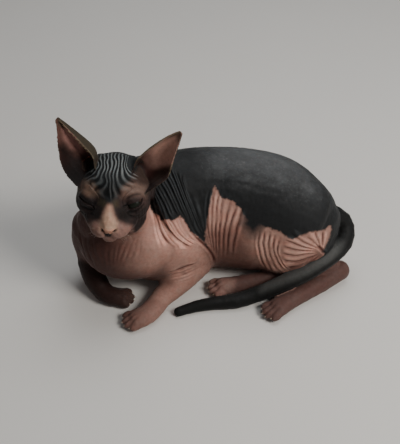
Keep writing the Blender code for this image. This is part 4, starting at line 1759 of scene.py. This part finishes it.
@dataclass(frozen=True)
class Skin:
    """The one skin that stands for all flesh parts of the model.

    Attributes:
        swell: How far the parts grow so that they meet, in metres.
        voxel: Grain of the skin on the body.
        cushion: Flesh between the eyeball and the lids.
        margin: How far the finer grain goes on beyond the head and ears.
        nape: Where it ends at the back of the head, in the head's axes.
    """

    swell: float = 0.00035
    voxel: float = 0.0009
    cushion: float = 0.0014
    margin: float = 0.002
    nape: float = 3.2

    def grow(self) -> bpy.types.Object:
        """Melts the flesh parts into one closed skin."""
        pieces = [copy_of(name, self.swell) for name in FLESH]
        pieces += [round_ball(eye.centre, eye.radius + self.cushion) for eye in HEAD.eyes]
        bm = bmesh.new()
        for piece in pieces:
            bm.from_mesh(piece.data)
            bpy.data.objects.remove(piece)
        obj = new_object(bm, "skin")
        remesh = obj.modifiers.new("melt", "REMESH")
        remesh.mode = "VOXEL"
        remesh.voxel_size = self.voxel
        remesh.adaptivity = 0.0
        apply_modifiers(obj)
        self.keep_largest(obj)
        return obj

    @staticmethod
    def keep_largest(obj: bpy.types.Object) -> None:
        """Drops the inner shells that melting leaves."""
        bm = bmesh.new()
        bm.from_mesh(obj.data)
        bm.verts.ensure_lookup_table()
        left = set(bm.verts)
        shells = []
        while left:
            front = [left.pop()]
            shell = list(front)
            while front:
                vert = front.pop()
                for edge in vert.link_edges:
                    other = edge.other_vert(vert)
                    if other in left:
                        left.discard(other)
                        front.append(other)
                        shell.append(other)
            shells.append(shell)
        largest = max(shells, key=len)
        drop = [v for shell in shells if shell is not largest for v in shell]
        bmesh.ops.delete(bm, geom=drop, context="VERTS")
        bm.to_mesh(obj.data)
        bm.free()

    def refine(self, obj: bpy.types.Object) -> None:
        """Halves the grain of the head and ears."""
        lows, highs = zip(*(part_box(name) for name in Part.HEAD.value + Part.EARS.value))
        low = np.min(np.array(lows), axis=0) - self.margin
        high = np.max(np.array(highs), axis=0) + self.margin
        skin = SkinMesh(obj)
        middles = skin.co[skin.edges].mean(axis=1)
        wanted = ((middles > low) & (middles < high)).all(axis=1)
        wanted &= HEAD.local(middles)[:, 1] < self.nape
        bm = bmesh.new()
        bm.from_mesh(obj.data)
        bm.edges.ensure_lookup_table()
        chosen = [bm.edges[i] for i in np.flatnonzero(wanted)]
        bmesh.ops.subdivide_edges(bm, edges=chosen, cuts=1, use_grid_fill=True, smooth=0.0)
        bmesh.ops.triangulate(bm, faces=[f for f in bm.faces if len(f.verts) > 4])
        bm.to_mesh(obj.data)
        bm.free()

    def build(self) -> bpy.types.Object:
        """Grows, carves, colours and dresses the skin."""
        obj = self.grow()
        skin = SkinMesh(obj)
        skin.relax(6)
        self.refine(obj)
        skin.read()
        skin.relax(6)
        LOG.info("skin grown: %d points", skin.count)
        anatomy = Anatomy()
        anatomy.label(skin)
        toes = sum(t.carve(skin, anatomy) for t in TOES)
        skin.lift(toes, 4)
        folds = Folds(skin, anatomy).carve()
        TEMPLE.carve(skin)
        wet = Lids().carve(skin)
        face = Face(wet, *Muzzle().carve(skin))
        Markings(skin, anatomy).paint(folds, face)
        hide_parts(*FLESH)
        dress(obj, SkinFinish().material())
        return obj


class Eyes:
    """The two eyeballs with bulging corneas."""

    GAZE = (0.28, -0.93, -0.22)
    PUPIL = (11.0, 17.0)
    BULGE = 0.06
    CORNEA_DEGREES = (52, 25)
    RINGS = 64

    def build(self) -> list[bpy.types.Object]:
        """Makes one smooth piece for each eye."""
        finish = EyeFinish().material()
        made = []
        for eye, name in zip(HEAD.eyes, ("eye_right", "eye_left")):
            obj = round_ball(eye.centre, eye.radius, self.RINGS)
            obj.name = obj.data.name = name + "_glossy"
            points = SkinMesh(obj)
            away = (points.co - eye.centre) / eye.radius
            gaze = HEAD.axes @ (np.array(self.GAZE) * (eye.side, 1, 1))
            gaze /= np.linalg.norm(gaze)
            across = np.cross(gaze, UP)
            across /= np.linalg.norm(across)
            up = np.cross(across, gaze)
            off = np.degrees(np.arccos(np.clip(away @ gaze, -1, 1)))
            wide, tall = (math.radians(a) for a in self.PUPIL)
            pupil = np.hypot((away @ across) / wide, (away @ up) / tall) + (off > 90) * 9
            points.values("off_gaze", off)
            points.values("off_pupil", pupil)
            swell = 1 + self.BULGE * smoothstep(*self.CORNEA_DEGREES, off)
            points.co = eye.centre + away * (eye.radius * swell)[:, None]
            points.write()
            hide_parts(name)
            dress(obj, finish)
            made.append(obj)
        return made


def unwrapped(spot: np.ndarray) -> np.ndarray:
    """A place on the skin unrolled from a cylinder about the cat's long axis, from 0 to 1 both ways."""
    low, high = CAD_BOX
    along = (spot[0] - low[0]) / (high[0] - low[0])
    turn = math.atan2(spot[1] - 0.5 * (low[1] + high[1]), spot[2] - 0.5 * (low[2] + high[2]))
    return BAKE_EDGE + (1 - 2 * BAKE_EDGE) * np.array([along, turn / (2 * math.pi) + 0.5])


def ribbon(bm: bmesh.types.BMesh, spine: list[np.ndarray], radii: list[float], sides: int) -> None:
    """Adds a tapering round strand along a line, mapped to a small patch at its root's place.

    Args:
        bm: The mesh to add to.
        spine: Points along the middle.
        radii: Radius at each point.
        sides: Corners of its section.
    """
    rings = []
    for i, (spot, radius) in enumerate(zip(spine, radii)):
        way = spine[min(i + 1, len(spine) - 1)] - spine[max(i - 1, 0)]
        way = way / np.linalg.norm(way)
        one = np.cross(way, [0.31, 0.22, 0.92])
        one /= np.linalg.norm(one)
        two = np.cross(way, one)
        turns = [2 * math.pi * k / sides for k in range(sides)]
        corners = [spot + radius * (math.cos(t) * one + math.sin(t) * two) for t in turns]
        rings.append([bm.verts.new(corner) for corner in corners])
    faces = [bm.faces.new(list(reversed(rings[0]))), bm.faces.new(rings[-1])]
    for low, high in zip(rings, rings[1:]):
        for k in range(sides):
            faces.append(bm.faces.new((low[k], low[(k + 1) % sides], high[(k + 1) % sides], high[k])))
    layer = bm.loops.layers.uv.get(BAKE_MAP) or bm.loops.layers.uv.new(BAKE_MAP)
    root = unwrapped(spine[0])
    places = {}
    for i, ring in enumerate(rings):
        for k, vert in enumerate(ring):
            places[vert] = root + BAKE_PATCH * np.array([k / sides - 0.5, i / (len(rings) - 1) - 0.5])
    for face in faces:
        for loop in face.loops:
            loop[layer].uv = places[loop.vert]


@dataclass(frozen=True)
class Strands:
    """Many small tapering strands that stand on the skin as one piece.

    Attributes:
        length: The longest one in metres.
        thickness: Radius at the root.
    """

    name: ClassVar[str]
    finish: ClassVar[HornFinish]
    slot: ClassVar[str]
    stops: ClassVar[tuple[float, ...]]
    taper: ClassVar[tuple[float, ...]]
    sides: ClassVar[int]

    length: float
    thickness: float

    def strand(self, bm: bmesh.types.BMesh, root: np.ndarray, way: np.ndarray, bend: np.ndarray) -> None:
        """Adds one strand.

        Args:
            bm: The mesh to add to.
            root: Where it leaves the skin.
            way: From the root to the end of a straight strand.
            bend: How far the end is drawn aside.
        """
        spine = [root + way * t + bend * t * t for t in self.stops]
        ribbon(bm, spine, [self.thickness * r for r in self.taper], self.sides)

    def piece(self, bm: bmesh.types.BMesh) -> bpy.types.Object:
        """Turns the strands into a dressed piece."""
        obj = new_object(bm, self.name)
        dress(obj, self.finish.material())
        return obj


@dataclass(frozen=True)
class Claws(Strands):
    """Claw tips that show a little between the toes."""

    name = "claws"
    finish = HornFinish("claw_horn", (188, 168, 148), 0.35)
    slot = "face_skin"
    stops = (0.0, 0.35, 0.7, 1.0)
    taper = (1.0, 0.85, 0.5, 0.08)
    sides = 8
    DROOP = 0.45
    ROOT_DEPTH = 0.0012
    START = 0.02
    SEARCH = 0.03

    length: float = 0.0032
    thickness: float = 0.0006

    def build(self, surface: BVHTree) -> bpy.types.Object:
        """Sets one claw at the end of each toe.

        Args:
            surface: The finished skin, to set the roots on.

        Returns:
            The piece.
        """
        bm = bmesh.new()
        for toes in TOES:
            middle, way, side = toes.axes()
            for place in (-1.5, -0.5, 0.5, 1.5):
                start = middle + side * place * toes.spread * CM + way * self.START + UP * MM
                hit, *_ = surface.ray_cast(Vector(start), Vector(-way), self.SEARCH)
                if hit is None:
                    continue
                root = np.array(hit) - way * self.ROOT_DEPTH
                self.strand(bm, root, way * self.length, -UP * self.length * self.DROOP)
        return self.piece(bm)


@dataclass(frozen=True)
class Whiskers(Strands):
    """The few short broken whiskers of the breed."""

    name = "whiskers"
    finish = HornFinish("whisker_hair", (150, 138, 126), 0.4)
    slot = "face_skin"
    stops = (0, 0.3, 0.6, 0.8, 1)
    taper = (1, 0.9, 0.7, 0.45, 0.1)
    sides = 4
    SEED = 5
    ROWS = 3
    EACH = 3
    CURL = 0.4

    length: float = 0.008
    thickness: float = 0.00009

    def build(self, surface: BVHTree) -> bpy.types.Object:
        """Sets the whiskers on both pads.

        Args:
            surface: The finished skin, to set the roots on.

        Returns:
            The piece.
        """
        rng = np.random.default_rng(self.SEED)
        bm = bmesh.new()
        for side, row, k in product((-1, 1), range(self.ROWS), range(self.EACH)):
            spot = HEAD.world([side * (0.8 + 0.3 * k), -4.4, -1.95 - 0.2 * row])
            root, normal, *_ = surface.find_nearest(Vector(spot))
            way = np.array(normal) + HEAD.axes @ np.array([0.9 * side, 0.2, -0.2])
            way /= np.linalg.norm(way)
            long = self.length * rng.uniform(0.4, 1.0)
            curl = HEAD.axes @ np.array([0, 0.5, rng.uniform(-0.6, 0.2)])
            self.strand(bm, np.array(root), way * long, curl * long * self.CURL)
        return self.piece(bm)


@dataclass(frozen=True)
class Down(Strands):
    """Short light hair along the inner edges of the ears.

    Attributes:
        length: The longest hair in metres.
        thickness: Radius at the root.
        count: Hairs on each ear.
    """

    name = "ear_down"
    finish = HornFinish("ear_down", (150, 138, 108), 0.7)
    slot = "ear_skin"
    stops = (-0.1, 0.5, 1.0)
    taper = (1, 0.8, 0.2)
    sides = 3
    SEED = 9
    FOOT = (1.9, -1.7, 2.4)
    TIP = (4.7, 0.2, 6.4)
    LEAN = (0.5, -0.2, 0.7)

    length: float = 0.0028
    thickness: float = 0.00006
    count: int = 260

    def build(self, surface: BVHTree) -> bpy.types.Object:
        """Sets the hair on both ears.

        Args:
            surface: The finished skin, to set the roots on.

        Returns:
            The piece.
        """
        rng = np.random.default_rng(self.SEED)
        bm = bmesh.new()
        for side in (-1, 1):
            foot, tip, lean = mirrored((self.FOOT, self.TIP, self.LEAN), side)
            for _ in range(self.count):
                t = rng.uniform(0.3, 1.0)
                spot = HEAD.world(foot * (1 - t) + tip * t + rng.normal(0, 0.12, 3))
                root, normal, *_ = surface.find_nearest(Vector(spot))
                way = np.array(normal) * 0.5 + HEAD.axes @ lean + rng.normal(0, 0.2, 3)
                way /= np.linalg.norm(way)
                long = self.length * rng.uniform(0.5, 1.0)
                self.strand(bm, np.array(root), way * long, np.zeros(3))
        return self.piece(bm)


@dataclass(frozen=True)
class Lamp:
    """One soft studio lamp.

    Attributes:
        name: Which lamp it is.
        place: Where it stands.
        size: Width of its face.
        watts: Its power.
        colour: Its light.
    """

    AIM: ClassVar[Spot] = (0.0, 0.0, 0.06)

    name: str
    place: Spot
    size: float
    watts: float
    colour: Colour = (1.0, 0.97, 0.93)

    def build(self) -> None:
        """Sets the lamp up, turned to the cat."""
        data = bpy.data.lights.new(self.name, "AREA")
        data.shape = "SQUARE"
        data.size = self.size
        data.energy = self.watts
        data.color = self.colour
        stand(self.name, data, self.place, Vector(self.AIM) - Vector(self.place))


@dataclass(frozen=True)
class Studio:
    """The floor, the lamps and the pale room around the cat.

    Attributes:
        half: Half the width of the floor.
        lamps: The lamps.
        room_light: Strength of the light from all round.
        room_colour: Its linear colour.
    """

    half: float = 3.0
    lamps: tuple[Lamp, ...] = (
        Lamp("key_lamp", (0.85, -0.6, 1.05), 0.5, 16.0),
        Lamp("top_lamp", (0.2, 0.5, 1.5), 1.0, 11.0, (0.96, 0.98, 1.0)),
        Lamp("fill_lamp", (-1.2, -0.8, 0.8), 1.2, 0.6, (0.95, 0.97, 1.0)),
    )
    room_light: float = 0.12
    room_colour: tuple[float, float, float, float] = (0.9, 0.92, 0.95, 1)

    def build(self) -> None:
        """Builds the studio."""
        bm = bmesh.new()
        bmesh.ops.create_grid(bm, x_segments=8, y_segments=8, size=self.half)
        floor = new_object(bm, "floor")
        floor.data.materials.append(FloorFinish().material())
        for lamp in self.lamps:
            lamp.build()
        world = bpy.context.scene.world or bpy.data.worlds.new("room")
        bpy.context.scene.world = world
        world.use_nodes = True
        background = next(n for n in world.node_tree.nodes if n.type == "BACKGROUND")
        background.inputs["Color"].default_value = self.room_colour
        background.inputs["Strength"].default_value = self.room_light


def surface_of(obj: bpy.types.Object) -> BVHTree:
    """A search tree of an object's faces."""
    mesh = obj.data
    return BVHTree.FromPolygons([v.co for v in mesh.vertices], [p.vertices[:] for p in mesh.polygons])


def main() -> None:
    """Dresses the cat and sets up the studio."""
    logging.basicConfig(level=logging.INFO, format="%(message)s")
    Studio().build()
    VIEW.place_camera()
    skin = Skin().build()
    LOG.info("skin: %d faces", len(skin.data.polygons))
    surface = surface_of(skin)
    for eye in Eyes().build():
        LOG.info("%s: %d faces", eye.name, len(eye.data.polygons))
    for maker in (Claws(), Whiskers(), Down()):
        piece = maker.build(surface)
        LOG.info("%s: %d faces", piece.name, len(piece.data.polygons))


if __name__ == "__main__":
    main()
